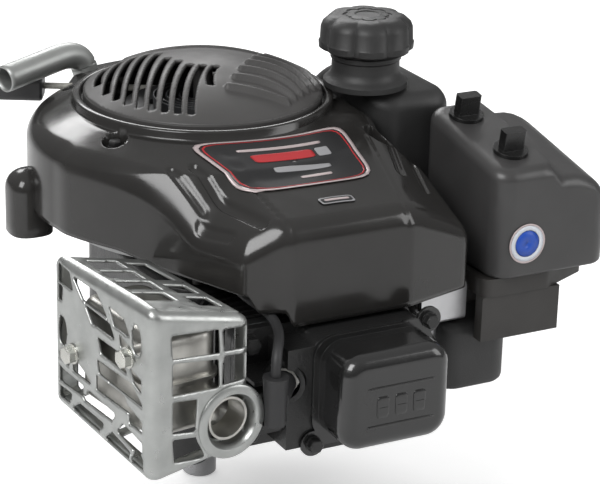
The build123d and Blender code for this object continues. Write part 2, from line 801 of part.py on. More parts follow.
cover_outside = cover_block(0, cover_face_y)
cover_inside = cover_block(cover_wall, cover_face_y + cover_wall)
with BuildPart() as valve_cover:
    add(cover_outside)
    with BuildSketch(y_plane(head_front)):
        with Locations(cover_middle):
            RectangleRounded(cover_right - cover_left + 8, cover_high - cover_low + 6, 14)
        with Locations(*[(x, -z) for x, z in cover_bolt_places]):
            Circle(8)
        for x, z in cover_bolt_places:
            inward = 1 if x < rocker_x else -1
            with Locations((x + 9 * inward, -z + (8 if z > bore_z else -8))):
                Rectangle(16, 20)
    extrude(amount=-cover_flange)
    add(cover_inside, mode=Mode.SUBTRACT)
    with BuildSketch(y_plane(head_front + 1)):
        with Locations(*[(x, -z) for x, z in cover_bolt_places]):
            Circle(3.3)
    extrude(amount=-6, mode=Mode.SUBTRACT)
valve_cover.part.label = "valve_cover"
export_step(valve_cover.part, "parts/valve_cover.step")

cover_bolt = flange_bolt(3, 2, 8, 4.5)
with BuildPart() as valve_cover_bolts:
    with Locations(*[Location((x, head_front - cover_flange, z), (90, 0, 0)) for x, z in cover_bolt_places]):
        add(cover_bolt)
valve_cover_bolts.part.label = "valve_cover_bolts"
export_step(valve_cover_bolts.part, "parts/valve_cover_bolts.step")

# ---- flywheel, starter cup and nut ----------------------------------------------------------------
rim_height = 24.0
vane_count = 24
vane_height = 20.0
taper_large, taper_small, taper_length = journal_radius, 8.5, 36.0
hub_top = fly_z + 30
taper_at_hub_top = taper_large + (taper_small - taper_large) * 30 / taper_length

with BuildPart() as flywheel:
    with BuildSketch(Plane.XY.offset(fly_z)):
        Circle(fly_radius)
    extrude(amount=rim_height)
    fillet(flywheel.edges().group_by(Axis.Z)[-1], 3)
    with BuildSketch(Plane.XY.offset(fly_z)):
        Circle(fly_radius - 14)
        Circle(24, mode=Mode.SUBTRACT)
    extrude(amount=rim_height - 6, mode=Mode.SUBTRACT)
    with BuildSketch(Plane.XY.offset(fly_z + rim_height)):
        Circle(22)
    extrude(amount=hub_top - fly_z - rim_height)
    with BuildSketch(Plane.XY.offset(fly_z + rim_height)):
        with PolarLocations(fly_radius - 20, vane_count):
            with Locations(Location((0, 0), 25)):
                Rectangle(30, 2.5)
    extrude(amount=vane_height)
    with BuildSketch(Plane.XY.offset(fly_z)):
        Circle(taper_large + 0.05)
    with BuildSketch(Plane.XY.offset(hub_top)):
        Circle(taper_at_hub_top + 0.05)
    loft(mode=Mode.SUBTRACT)
flywheel.part.label = "flywheel"
export_step(flywheel.part, "parts/flywheel.step")

with BuildPart() as starter_cup:
    with BuildSketch(Plane.XY.offset(hub_top)):
        Circle(36)
        Circle(10.5, mode=Mode.SUBTRACT)
    extrude(amount=2)
    with BuildSketch(Plane.XY.offset(hub_top + 2)):
        Circle(36)
        Circle(34, mode=Mode.SUBTRACT)
    extrude(amount=20)
    with BuildSketch(Plane.XY.offset(hub_top + 12)):
        with PolarLocations(35, 6):
            Rectangle(8, 10)
    extrude(amount=6, mode=Mode.SUBTRACT)
starter_cup.part.label = "starter_cup"
export_step(starter_cup.part, "parts/starter_cup.step")

with BuildPart() as flywheel_nut:
    with BuildSketch(Plane.XY.offset(hub_top + 6.5)):
        RegularPolygon(12, 6, major_radius=False)
        Circle(8, mode=Mode.SUBTRACT)
    extrude(amount=12)
    with BuildSketch(Plane.XY.offset(hub_top + 2)):
        Circle(15)
        Circle(10.2, mode=Mode.SUBTRACT)
    extrude(amount=4.5)
flywheel_nut.part.label = "flywheel_nut"
export_step(flywheel_nut.part, "parts/flywheel_nut.step")

# ---- blower housing -------------------------------------------------------------------------------
pulley_radius = 46.0             # where the rope winds
rope_z = 190.0
pull = (-0.883, 0.469, 0.0)      # the way the starter rope leaves the engine
rope_start = (pulley_radius * 0.469, pulley_radius * 0.883, rope_z)
rope_plane = Plane(origin=rope_start, x_dir=(0.469, 0.883, 0), z_dir=pull)
hood_slope = 14.5                # degrees, top of the hood falling to the front
hood_top_y, hood_top_z = -60.0, 192.0
hood_front_y = -163.0
hood_bend = 20.0                 # radius where the top turns down into the front
hood_outline = [(-104, -26), (-56, -128), (-46, -152), (-18, -163), (60, -163), (108, -150), (108, -98),
                (90, -70), (60, 0)]
drum_edge_z = 187.0
ring_outer, ring_inner = 81.5, 76.5
ring_top_z = 203.5
air_opening = 68.0
housing_screw_places = [(-78, -43, 9.0), (80, -80, 25.0), (-60, 66, 9.0), (36, 82, 9.0)]
drum_cut_x = 92.0
slope_plane = Plane(
    origin=(0, hood_top_y, hood_top_z), x_dir=(1, 0, 0),
    z_dir=(0, -cos(radians(hood_slope)), -sin(radians(hood_slope))),
)


def housing_form(inset):
    """Outer skin of the blower housing, or its inside when given the wall thickness."""
    fall = tan(radians(hood_slope))
    front = hood_front_y + inset
    bend = hood_bend - inset
    top = hood_top_z - inset
    bend_start = (front + bend, top - (hood_top_y - front - bend) * fall)
    with BuildPart() as form:
        # hood over the cylinder: side profile cut to its plan outline
        with BuildSketch(Plane.YZ):
            with BuildLine():
                Line((20, top), (hood_top_y, top))
                Line((hood_top_y, top), bend_start)
                bend_arc = TangentArc(
                    bend_start, (front, bend_start[1] - bend), tangent=(-1, -fall),
                )
                Line(bend_arc @ 1, (front, housing_low))
                Line((front, housing_low), (20, housing_low))
                Line((20, housing_low), (20, top))
            make_face()
        extrude(amount=150, both=True)
        with BuildSketch(Plane.XY.offset(housing_low)):
            with BuildLine():
                Polyline(*hood_outline, close=True)
            make_face()
            offset(amount=-inset, kind=Kind.INTERSECTION)
        extrude(amount=100, mode=Mode.INTERSECT)
        # shoulders falling away on both sides of the raised middle
        for edge, side, drop in ((-28, -80, 20), (64, 118, 26)):
            with BuildSketch(slope_plane):
                with BuildLine():
                    Polyline(
                        (edge, -inset), (edge, 30), (side, 30), (side, -drop - inset), close=True,
                    )
                make_face()
            extrude(amount=140, mode=Mode.SUBTRACT)
        # round drum over the flywheel, flat where the tank stands beside it
        with BuildSketch(Plane.XZ):
            with BuildLine():
                Polyline(
                    (0, housing_low), (drum_radius - inset, housing_low),
                    (drum_radius - inset, drum_edge_z - inset / 2), (ring_outer, drum_top_z - inset),
                    (0, drum_top_z - inset), close=True,
                )
            make_face()
        revolve(axis=Axis.Z)
        with BuildSketch(Plane.XY.offset(housing_low)):
            with Locations((drum_cut_x - inset, 24)):
                Rectangle(80, 170, align=(Align.MIN, Align.CENTER))
        extrude(amount=100, mode=Mode.SUBTRACT)
    return form.part


housing_outside = housing_form(0)
housing_inside = housing_form(moulding)
with BuildPart() as screw_posts:
    for x, y, depth in housing_screw_places:
        with BuildSketch(Plane.XY.offset(drum_top_z - depth - 14)):
            with Locations((x, y)):
                Circle(9)
        extrude(amount=60)
    add(housing_outside, mode=Mode.INTERSECT)
with BuildPart() as blower_housing:
    add(housing_outside)
    # corner boss at the left
    with BuildSketch(Plane.XY.offset(118)):
        with Locations((-108, 25)):
            Circle(11)
    extrude(amount=38)
    add(housing_inside, mode=Mode.SUBTRACT)
    with BuildSketch(Plane.XY.offset(drum_top_z - 2)):
        Circle(ring_outer)
        Circle(ring_inner, mode=Mode.SUBTRACT)
    extrude(amount=ring_top_z - drum_top_z + 2)
    fillet(blower_housing.faces().sort_by(Axis.Z)[-1].edges(), 1.8)
    with BuildSketch(Plane.XY.offset(drum_top_z - 20)):
        Circle(air_opening)
    extrude(amount=40, mode=Mode.SUBTRACT)
    # screw recesses with their posts
    add(screw_posts.part)
    for x, y, depth in housing_screw_places:
        with BuildSketch(Plane.XY.offset(drum_top_z - depth)):
            with Locations((x, y)):
                Circle(6.5)
        extrude(amount=20, mode=Mode.SUBTRACT)
        with BuildSketch(Plane.XY.offset(drum_top_z - depth - 14)):
            with Locations((x, y)):
                Circle(2.55)
        extrude(amount=20, mode=Mode.SUBTRACT)
    # the skirt stands on the crankcase; notch in front for the ignition lead
    with BuildSketch(Plane.XY.offset(housing_low - 1)):
        add(case_outline(-0.5))
    extrude(amount=case_top_z - housing_low + 1.1, mode=Mode.SUBTRACT)
    with BuildSketch(Plane.XY.offset(housing_low - 1)):
        with Locations((-34, -158)):
            Rectangle(22, 34)
    extrude(amount=14, mode=Mode.SUBTRACT)
    # hole for the starter rope
    with BuildSketch(rope_plane.offset(60)):
        Circle(4)
    extrude(amount=80, mode=Mode.SUBTRACT)
blower_housing.part.label = "blower_housing"
export_step(blower_housing.part, "parts/blower_housing.step")

housing_bolt = flange_bolt(2.5, 12, 7, 3.5)
with BuildPart() as housing_screws:
    with Locations(*[(x, y, drum_top_z - depth) for x, y, depth in housing_screw_places]):
        add(housing_bolt)
housing_screws.part.label = "housing_screws"
export_step(housing_screws.part, "parts/housing_screws.step")

# ---- recoil starter -------------------------------------------------------------------------------
dome_height = 20.0
dome_wall = 3.0
dome_sphere = (dome_radius**2 + dome_height**2) / (2 * dome_height)
dome_centre_z = dome_z + dome_height - dome_sphere
slot_pitch = 7.6
slot_width = 4.4
slot_bow = 190.0                 # radius of the first slot's curve
slot_count = 9
rib_count = 8
rib_rise = 1.6


def bowed_strip(width, bow, towards, from_axis):
    """Ring strip of large radius passing the crank axis at a distance; its centre lies towards an angle."""
    centre = (bow * cos(radians(towards)), bow * sin(radians(towards)))
    with BuildSketch() as strip:
        with Locations(centre):
            Circle(bow + from_axis + width / 2)
            Circle(bow + from_axis - width / 2, mode=Mode.SUBTRACT)
    return strip.sketch


def sector(inner, outer, start, size):
    """Ring sector between two radii."""
    with BuildSketch() as piece:
        with BuildLine():
            CenterArc((0, 0), outer, start, size)
            CenterArc((0, 0), inner, start, size)
            for angle in (start, start + size):
                ray = (cos(radians(angle)), sin(radians(angle)))
                Line((inner * ray[0], inner * ray[1]), (outer * ray[0], outer * ray[1]))
        make_face()
    return piece.sketch


def dome_cap(radius_change):
    """Solid cap of the dome's sphere, grown or shrunk by the given amount."""
    with BuildPart() as cap:
        with Locations((0, 0, dome_centre_z)):
            Sphere(dome_sphere + radius_change)
        with BuildSketch(Plane.XY.offset(dome_z - 3)):
            Circle(dome_radius)
        extrude(amount=60, mode=Mode.INTERSECT)
    return cap.part


slot_sketches = []
slot_field = sector(9, 68, 80, 145)
for number in range(slot_count):
    strip = bowed_strip(slot_width, slot_bow, -28, 4 + number * slot_pitch)
    slot_sketches.append(strip & slot_field)
rib_field = sector(24, 70, -62, 112)
outer_cap = dome_cap(0)
inner_cap = dome_cap(-dome_wall)
rib_cap = dome_cap(rib_rise)

with BuildPart() as starter_cover:
    # raised ribs of the right-hand sector, cut to the sphere above the dome
    for number in range(rib_count):
        with BuildSketch(Plane.XY.offset(dome_z - 2)):
            add(bowed_strip(4.0, 170, 196, 12 + number * 7.2) & rib_field)
        extrude(amount=40)
    add(rib_cap, mode=Mode.INTERSECT)
    add(outer_cap)
    add(inner_cap, mode=Mode.SUBTRACT)
    # skirt resting inside the housing's ring
    with BuildSketch(Plane.XY.offset(drum_top_z)):
        Circle(dome_radius)
        Circle(dome_radius - dome_wall, mode=Mode.SUBTRACT)
    extrude(amount=dome_z - drum_top_z)
    for slot in slot_sketches:
        with BuildSketch(Plane.XY.offset(dome_z - 3)):
            add(slot)
        extrude(amount=40, mode=Mode.SUBTRACT)
    # post that carries the pulley
    with BuildSketch(Plane.XY.offset(rope_z - 7)):
        Circle(6)
    extrude(amount=dome_z + dome_height - 2 - rope_z + 7)
starter_cover.part.label = "starter_cover"
export_step(starter_cover.part, "parts/starter_cover.step")

with BuildPart() as starter_pulley:
    with BuildSketch(Plane.XZ):
        with BuildLine():
            Polyline(
                (6 + running_gap, rope_z - 5), (pulley_radius + 4, rope_z - 5),
                (pulley_radius + 4, rope_z - 3),
                (pulley_radius - 3, rope_z - 2.6), (pulley_radius - 3, rope_z + 2.6),
                (pulley_radius + 4, rope_z + 3), (pulley_radius + 4, rope_z + 4.5),
                (6 + running_gap, rope_z + 4.5), close=True,
            )
        make_face()
    revolve(axis=Axis.Z)
    with BuildSketch(Plane.XY.offset(rope_z - 6)):
        with PolarLocations(28, 5):
            Circle(7)
    extrude(amount=12, mode=Mode.SUBTRACT)
starter_pulley.part.label = "starter_pulley"
export_step(starter_pulley.part, "parts/starter_pulley.step")

with BuildPart() as rewind_spring:
    spiral_turns = 6
    spiral = [
        ((9 + 4 * turn) * cos(2 * pi * turn), (9 + 4 * turn) * sin(2 * pi * turn))
        for turn in [step / 12 for step in range(spiral_turns * 12 + 1)]
    ]
    with BuildSketch(Plane.XY.offset(rope_z + 5.5)):
        with BuildLine():
            Spline(*spiral)
        trace(line_width=0.8)
    extrude(amount=6)
rewind_spring.part.label = "rewind_spring"
export_step(rewind_spring.part, "parts/rewind_spring.step")

handle_near = 105.0              # along the rope from where it leaves the pulley
handle_length, handle_width, handle_height = 34.0, 21.0, 17.0
with BuildPart() as starter_handle:
    with BuildSketch(rope_plane.offset(handle_near)):
        with Locations((0, 0)):
            RectangleRounded(handle_width, handle_height, 5)
    extrude(amount=handle_length)
    fillet(starter_handle.faces().sort_by(Axis.X)[0].edges(), 4)
    fillet(starter_handle.faces().sort_by(Axis.X)[-1].edges(), 2)
starter_handle.part.label = "starter_handle"
export_step(starter_handle.part, "parts/starter_handle.step")

with BuildPart() as starter_rope:
    with BuildSketch(rope_plane):
        Circle(2)
    extrude(amount=handle_near)
    with BuildSketch(Plane.XZ):
        with Locations((pulley_radius - 0.6, rope_z)):
            Circle(2.1)
    revolve(axis=Axis.Z)
starter_rope.part.label = "starter_rope"
export_step(starter_rope.part, "parts/starter_rope.step")

# ---- bent tube behind the starter grip ------------------------------------------------------------
tube_points = [(-106, 74, 207), (-50, 97, 213), (-40, 96, 189.4)]
tube_radius = 7.0
tube_outside = tube_run(tube_points, tube_radius)
tube_inside = tube_run(tube_points, tube_radius - 1.2)
with BuildPart() as rear_guard_tube:
    add(tube_outside)
    add(tube_inside, mode=Mode.SUBTRACT)
    with BuildSketch(Plane.XY.offset(170)):
        Rectangle(400, 400)
    extrude(amount=23, mode=Mode.SUBTRACT)
rear_guard_tube.part.label = "rear_guard_tube"
export_step(rear_guard_tube.part, "parts/rear_guard_tube.step")

# ---- ignition -------------------------------------------------------------------------------------
coil_angle = 236.0
coil_plane = Plane.XY.rotated((0, 0, coil_angle))
with BuildPart() as ignition_coil:
    with BuildSketch(coil_plane.offset(fly_z + 4)):
        with Locations((fly_radius + 3.6, -13), (fly_radius + 3.6, 13)):
            Rectangle(6, 8)
        with Locations((fly_radius + 9.5, 0)):
            Rectangle(8, 40)
    extrude(amount=14)
    with BuildSketch(coil_plane.offset(fly_z + 1)):
        with Locations((fly_radius + 9, 0)):
            Rectangle(17, 24)
    extrude(amount=22)
    with BuildSketch(coil_plane.offset(case_top_z)):
        with Locations((fly_radius + 5, 12)):
            Circle(3.5)
    extrude(amount=fly_z + 5 - case_top_z)
ignition_coil.part.label = "ignition_coil"
export_step(ignition_coil.part, "parts/ignition_coil.step")

plug_hex_at = 14.0
boot_x, boot_y = -43.5, -191.5
with BuildPart() as spark_plug:
    with BuildSketch(plug_plane.offset(-2)):
        Circle(6.5)
    extrude(amount=plug_hex_at + 2)
    with BuildSketch(plug_plane.offset(plug_hex_at)):
        RegularPolygon(8, 6, major_radius=False)
    extrude(amount=9)
    with BuildSketch(plug_plane.offset(plug_hex_at + 9)):
        Circle(4.5)
    extrude(amount=16)
    with BuildSketch(plug_plane.offset(plug_hex_at + 25)):
        Circle(3)
    extrude(amount=6)
spark_plug.part.label = "spark_plug"
export_step(spark_plug.part, "parts/spark_plug.step")

boot_z_top = plug_z + 14
with BuildPart() as plug_boot:
    with BuildSketch(plug_plane.offset(plug_hex_at + 11)):
        Circle(7.5)
    extrude(amount=24)
    with BuildSketch(Plane.XY.offset(plug_z - 16)):
        with Locations((boot_x, boot_y)):
            Circle(6)
    with BuildSketch(Plane.XY.offset(boot_z_top)):
        with Locations((boot_x, boot_y)):
            Circle(7.5)
    loft()
    with BuildSketch(plug_plane.offset(plug_hex_at)):
        Circle(4.55)
    extrude(amount=25, mode=Mode.SUBTRACT)
    with BuildSketch(plug_plane.offset(plug_hex_at + 24)):
        Circle(3.05)
    extrude(amount=7.1, mode=Mode.SUBTRACT)
plug_boot.part.label = "plug_boot"
export_step(plug_boot.part, "parts/plug_boot.step")

coil_outward = Vector(cos(radians(coil_angle)), sin(radians(coil_angle)), 0)
coil_side = Vector(-coil_outward.Y, coil_outward.X, 0) * -1
lead_end = coil_outward * (fly_radius + 13.5) - coil_side * 12.1 + Vector(0, 0, fly_z + 21.2)
lead_points = [
    (boot_x, boot_y, boot_z_top + 0.1), (-34, -176, 111), (-29, -152, 116), (-36, -118, 128), tuple(lead_end),
]
with BuildPart() as ignition_lead:
    with BuildLine() as lead_path:
        Spline(*lead_points, tangents=((0, 0, 1), tuple(coil_side)))
    with BuildSketch(Plane(origin=lead_points[0], z_dir=(0, 0, 1))):
        Circle(3)
    sweep()
ignition_lead.part.label = "ignition_lead"
export_step(ignition_lead.part, "parts/ignition_lead.step")

# ---- fuel tank, cap and line ----------------------------------------------------------------------
tank_left, tank_right, tank_back = 94.5, 152.0, 76.0
tank_front, tank_nose = -56.0, -138.0
tank_top_z, tank_low_z = 210.0, 52.0
neck_radius = 22.0
neck_top_z = 236.0
ring_clear = 84.0                # the tank's shelf stays outside the starter ring
spigot_x, spigot_y, spigot_z = 102.0, -122.0, 44.0


def tank_form(inset):
    """Tank body; given the wall thickness, its inside."""
    side = [(tank_back - inset, tank_low_z + inset), (tank_back - inset, 188 - inset),
            (40, tank_top_z - inset), (-26, tank_top_z - inset), (tank_front + inset, 196 - inset),
            (tank_front + inset, tank_low_z + 31 - inset), (tank_nose + inset, tank_low_z + 29 - inset),
            (tank_nose + inset, tank_low_z + inset), (tank_nose + 18 + inset, 30 + inset),
            (tank_nose + 42 - inset, 30 + inset), (tank_nose + 44 - inset, tank_low_z + inset)]
    with BuildPart() as form:
        with BuildSketch(Plane.YZ.offset(122.5 + inset)):
            with BuildLine():
                Polyline(*side, close=True)
            make_face()
        extrude(amount=tank_right - 122.5 - 2 * inset)
        # upper body above the crankcase bolts, and the nose in front of the crankcase
        with BuildSketch(Plane.XY.offset(122 + inset)):
            with Locations(((tank_left + 126) / 2, (tank_front + tank_back) / 2)):
                Rectangle(126 - tank_left - 2 * inset, tank_back - tank_front - 2 * inset)
        extrude(amount=70 - inset)
        with BuildSketch(Plane.YZ.offset(107 + inset)):
            with BuildLine():
                Polyline(
                    (tank_nose + inset, tank_low_z + 26 - inset), (-102 - inset, tank_low_z + 26 - inset),
                    (-102 - inset, 30 + inset), (tank_nose + 18 + inset, 30 + inset),
                    (tank_nose + inset, tank_low_z + inset), close=True,
                )
            make_face()
        extrude(amount=20)
    return form.part


tank_outside = tank_form(0)
tank_inside = tank_form(moulding)
with BuildPart() as fuel_tank:
    add(tank_outside)
    # shelf with the filler neck, reaching over the housing beside the starter ring
    with BuildSketch(Plane.XY.offset(191)):
        with Locations(((tank_left + 140) / 2, 10)):
            Rectangle(140 - tank_left, 100)
    extrude(amount=tank_top_z - 191)
    with BuildSketch(Plane.XY.offset(201)):
        with Locations((cap_x, cap_y)):
            Circle(24)
        with Locations((95, 10)):
            Rectangle(30, 80)
    extrude(amount=tank_top_z - 201)
    with BuildSketch(Plane.XY.offset(tank_top_z)):
        with Locations((cap_x, cap_y)):
            Circle(neck_radius)
    extrude(amount=neck_top_z - tank_top_z)
    add(tank_inside, mode=Mode.SUBTRACT)
    with BuildSketch(Plane.XY.offset(180)):
        with Locations((118, 10)):
            Rectangle(32, 80)
    extrude(amount=tank_top_z - 180 - moulding, mode=Mode.SUBTRACT)
    with BuildSketch(Plane.XY.offset(204)):
        with Locations((cap_x, cap_y)):
            Circle(neck_radius - 3)
    extrude(amount=60, mode=Mode.SUBTRACT)
    with BuildSketch(Plane.XY.offset(199)):
        Circle(ring_clear - 1)
    extrude(amount=60, mode=Mode.SUBTRACT)
    # seam flange where the two halves are welded, and the fuel outlet
    with BuildSketch(Plane.YZ.offset(107)):
        with Locations((tank_nose - 0.7, tank_low_z + 2)):
            Rectangle(2.4, 3)
    extrude(amount=tank_right - 107)
    with BuildSketch(x_plane(spigot_x)):
        with Locations((spigot_y, spigot_z)):
            Circle(3.5)
            Circle(1.8, mode=Mode.SUBTRACT)
    extrude(amount=107.6 - spigot_x)
fuel_tank.part.label = "fuel_tank"
export_step(fuel_tank.part, "parts/fuel_tank.step")

with BuildPart() as fuel_cap:
    with BuildSketch(Plane.XY.offset(cap_top - 18)):
        with Locations((cap_x, cap_y)):
            Circle(27.5)
            with PolarLocations(25, 8):
                Circle(5.5)
    extrude(amount=18)
    chamfer(fuel_cap.faces().sort_by(Axis.Z)[-1].edges(), 2.5)
    with BuildSketch(Plane.XY.offset(cap_top - 1)):
        with Locations((cap_x, cap_y)):
            Circle(17)
            Circle(15.4, mode=Mode.SUBTRACT)
    extrude(amount=2)
    with BuildSketch(Plane.XY.offset(cap_top - 18)):
        with Locations((cap_x, cap_y)):
            Circle(neck_radius + 0.3)
    extrude(amount=neck_top_z + 0.3 - cap_top + 18, mode=Mode.SUBTRACT)
fuel_cap.part.label = "fuel_cap"
export_step(fuel_cap.part, "parts/fuel_cap.step")

# ---- air cleaner ----------------------------------------------------------------------------------
box_left, box_front, box_right, box_back = 125.0, -153.0, 208.0, -60.0
box_step_x = 167.0
box_low_z, box_front_z = 110.0, 179.0
box_slope = 10.5
knob_places = [(147.0, -128.0), (144.0, -80.0)]


def box_top_at(y):
    """Height of the air cleaner's sloping top."""
    return box_front_z + (y - box_front) * tan(radians(box_slope))


def box_form(inset):
    """Air cleaner cover outline under its sloping top; given the wall thickness, its inside."""
    outline = [
        (box_left + inset, box_front + inset), (box_step_x, box_front + inset),
        (box_right - inset, box_front + 17 + inset), (box_right - inset, box_back - 24 - inset),
        (box_step_x, box_back - inset), (box_left + inset, box_back - inset),
    ]
    with BuildPart() as form:
        with BuildSketch(Plane.XY.offset(box_low_z)):
            with BuildLine():
                Polyline(*outline, close=True)
            make_face()
            fillet(vertices(), 9 - inset)
        extrude(amount=100)
        with BuildSketch(Plane.YZ):
            with BuildLine():
                Polyline(
                    (box_front, 0), (box_front, box_top_at(box_front) - inset),
                    (box_back, box_top_at(box_back) - inset), (box_back, 0), close=True,
                )
            make_face()
        extrude(amount=300, mode=Mode.INTERSECT)
        fillet(form.faces().sort_by(Axis.Z)[-1].edges(), 7 - inset)
    return form.part


box_outside = box_form(0)
box_inside = box_form(moulding)
box_top_plane = Plane(
    origin=(0, box_front, box_front_z), x_dir=(1, 0, 0),
    z_dir=(0, -sin(radians(box_slope)), cos(radians(box_slope))),
)
knob_sketch_places = [(x, (y - box_front) / cos(radians(box_slope))) for x, y in knob_places]
with BuildPart() as air_cleaner_cover:
    add(box_outside)
    add(box_inside, mode=Mode.SUBTRACT)
    with BuildSketch(box_top_plane.offset(-moulding - 6)):
        with Locations(*knob_sketch_places):
            Circle(9)
    extrude(amount=7)
    with BuildSketch(box_top_plane.offset(-20)):
        with Locations(*knob_sketch_places):
            Circle(5 + running_gap)
    extrude(amount=40, mode=Mode.SUBTRACT)
air_cleaner_cover.part.label = "air_cleaner_cover"
export_step(air_cleaner_cover.part, "parts/air_cleaner_cover.step")

knob_parts = []
for place in knob_sketch_places:
    with BuildPart() as knob:
        with BuildSketch(box_top_plane.offset(0.05)):
            with Locations(place):
                Circle(11)
        extrude(amount=2.4)
        with BuildSketch(box_top_plane.offset(2)):
            with Locations(place):
                RectangleRounded(15, 8, 1.5)
        extrude(amount=13)
        with BuildSketch(box_top_plane.offset(-moulding - 9)):
            with Locations(place):
                Circle(5)
        extrude(amount=moulding + 9.1)
    knob_parts.append(knob)
knob_parts[0].part.label = "front_knob"
export_step(knob_parts[0].part, "parts/front_knob.step")
knob_parts[1].part.label = "rear_knob"
export_step(knob_parts[1].part, "parts/rear_knob.step")

carb_y, carb_z = -120.0, 92.0
base_left, base_right, base_front, base_back = 121.0, 177.0, -140.0, -70.0
base_low_z = 69.0
with BuildPart() as air_cleaner_base:
    # narrow box below, plate above that closes the cover
    with BuildSketch(Plane.XY.offset(box_low_z - 12)):
        with BuildLine():
            Polyline((121, -148), (167, -148), (203, -132), (203, -86), (166, -64), (121, -64), close=True)
        make_face()
        fillet(vertices(), 6)
    extrude(amount=11.9)
    with BuildSketch(Plane.XY.offset(base_low_z)):
        with Locations(((153.5 + base_right) / 2, (base_front + base_back) / 2)):
            RectangleRounded(base_right - 153.5, base_back - base_front, 5)
        with Locations(((base_left + base_right) / 2, base_front - 3)):
            Rectangle(base_right - base_left, 8)
    extrude(amount=box_low_z - 12 - base_low_z)
    with BuildSketch(x_plane(118.2)):
        with Locations((carb_y, carb_z + 4)):
            Circle(10.5)
    extrude(amount=10)
    with BuildSketch(x_plane(118)):
        with Locations((carb_y, carb_z + 4)):
            Circle(8)
    extrude(amount=28, mode=Mode.SUBTRACT)
    with BuildSketch(Plane.XY.offset(100)):
        with Locations((145, -108)):
            Rectangle(34, 60)
    extrude(amount=20, mode=Mode.SUBTRACT)
air_cleaner_base.part.label = "air_cleaner_base"
export_step(air_cleaner_base.part, "parts/air_cleaner_base.step")

with BuildPart() as air_filter:
    with BuildSketch(Plane.XY.offset(box_low_z)):
        with Locations((148, -106)):
            RectangleRounded(38, 74, 4)
    extrude(amount=26)
air_filter.part.label = "air_filter"
export_step(air_filter.part, "parts/air_filter.step")

# ---- carburettor, manifold, levers and fuel line ---------------------------------------------------
carb_left, carb_right = 86.0, 118.0
shaft_radius = 2.5
throttle_x = 95.0
bowl_x = 94.0
with BuildPart() as carburetor:
    with BuildSketch(x_plane(carb_left)):
        with Locations((carb_y, carb_z)):
            RectangleRounded(26, 26, 4)
    extrude(amount=carb_right - carb_left)
    # float bowl
    with BuildSketch(Plane.XY.offset(carb_z - 36)):
        with Locations((bowl_x, carb_y)):
            Circle(10)
    extrude(amount=26)
    with BuildSketch(x_plane(carb_left - 1)):
        with Locations((carb_y, carb_z)):
            Circle(8)
    extrude(amount=50, mode=Mode.SUBTRACT)
    with BuildSketch(Plane.XY.offset(carb_z - 20)):
        with Locations((throttle_x, carb_y)):
            Circle(shaft_radius + running_gap)
    extrude(amount=60, mode=Mode.SUBTRACT)
carburetor.part.label = "carburetor"
export_step(carburetor.part, "parts/carburetor.step")

with BuildPart() as throttle_lever:
    with BuildSketch(Plane.XY.offset(carb_z - 12)):
        with Locations((throttle_x, carb_y)):
            Circle(shaft_radius)
    extrude(amount=27.5)
    with BuildSketch(Plane.XY.offset(carb_z + 13.2)):
        with Locations(Location((throttle_x, carb_y), 90)):
            with Locations((6, 0)):
                SlotOverall(20, 7)
    extrude(amount=2.3)
    with BuildSketch(y_plane(carb_y)):
        with Locations((throttle_x, -carb_z)):
            Circle(7.6)
    extrude(amount=0.8, both=True)
throttle_lever.part.label = "throttle_lever"
export_step(throttle_lever.part, "parts/throttle_lever.step")

manifold_bend_x = 76.0
manifold_points = [
    (head_right, port_y, intake_port_z), (manifold_bend_x, port_y, intake_port_z),
    (manifold_bend_x, carb_y, carb_z), (carb_left - 0.1, carb_y, carb_z),
]
manifold_outside = tube_run(manifold_points, 9.5)
manifold_inside = tube_run(
    [(head_right - 1, port_y, intake_port_z), *manifold_points[1:3], (carb_left + 1, carb_y, carb_z)],
    port_radius,
)
with BuildPart() as intake_manifold:
    add(manifold_outside)
    add(manifold_inside, mode=Mode.SUBTRACT)
intake_manifold.part.label = "intake_manifold"
export_step(intake_manifold.part, "parts/intake_manifold.step")

with BuildPart() as governor_lever:
    with BuildSketch(Plane.XY.offset(case_top_z - 15)):
        with Locations((governor_x, governor_y)):
            Circle(governor_shaft_radius)
    extrude(amount=24)
    with BuildSketch(Plane.XY.offset(case_top_z + 3)):
        with Locations(Location((governor_x, governor_y), -100)):
            with Locations((14, 0)):
                SlotOverall(40, 9)
    extrude(amount=2.5)
governor_lever.part.label = "governor_lever"
export_step(governor_lever.part, "parts/governor_lever.step")

with BuildPart() as fuel_line:
    with BuildLine() as line_path:
        Spline(
            (spigot_x - 0.1, spigot_y, spigot_z), (bowl_x, spigot_y, carb_z - 36.1),
            tangents=((-1, 0, 0), (0, 0, 1)),
        )
    with BuildSketch(Plane(origin=(spigot_x - 0.1, spigot_y, spigot_z), z_dir=(-1, 0, 0))):
        Circle(3)
        Circle(1.8, mode=Mode.SUBTRACT)
    sweep()
fuel_line.part.label = "fuel_line"
export_step(fuel_line.part, "parts/fuel_line.step")

# ---- muffler --------------------------------------------------------------------------------------
guard_turn = -8.3                # degrees in plan, the front end nearer the crank
guard_corner = (-124.0, -200.0)  # near left corner
guard_length, guard_width = 107.0, 66.0
guard_sheet = 1.6
guard_corner_radius, guard_edge_radius = 7.0, 5.0
guard_high, guard_low = 151.0, 47.0
guard_back_high, guard_back_low = 150.0, 59.0
guard_right_high, guard_right_low = 135.0, 56.0
outlet_place = (50.0, 76.0)      # along the front face from the corner, and height
outlet_radius = 13.0


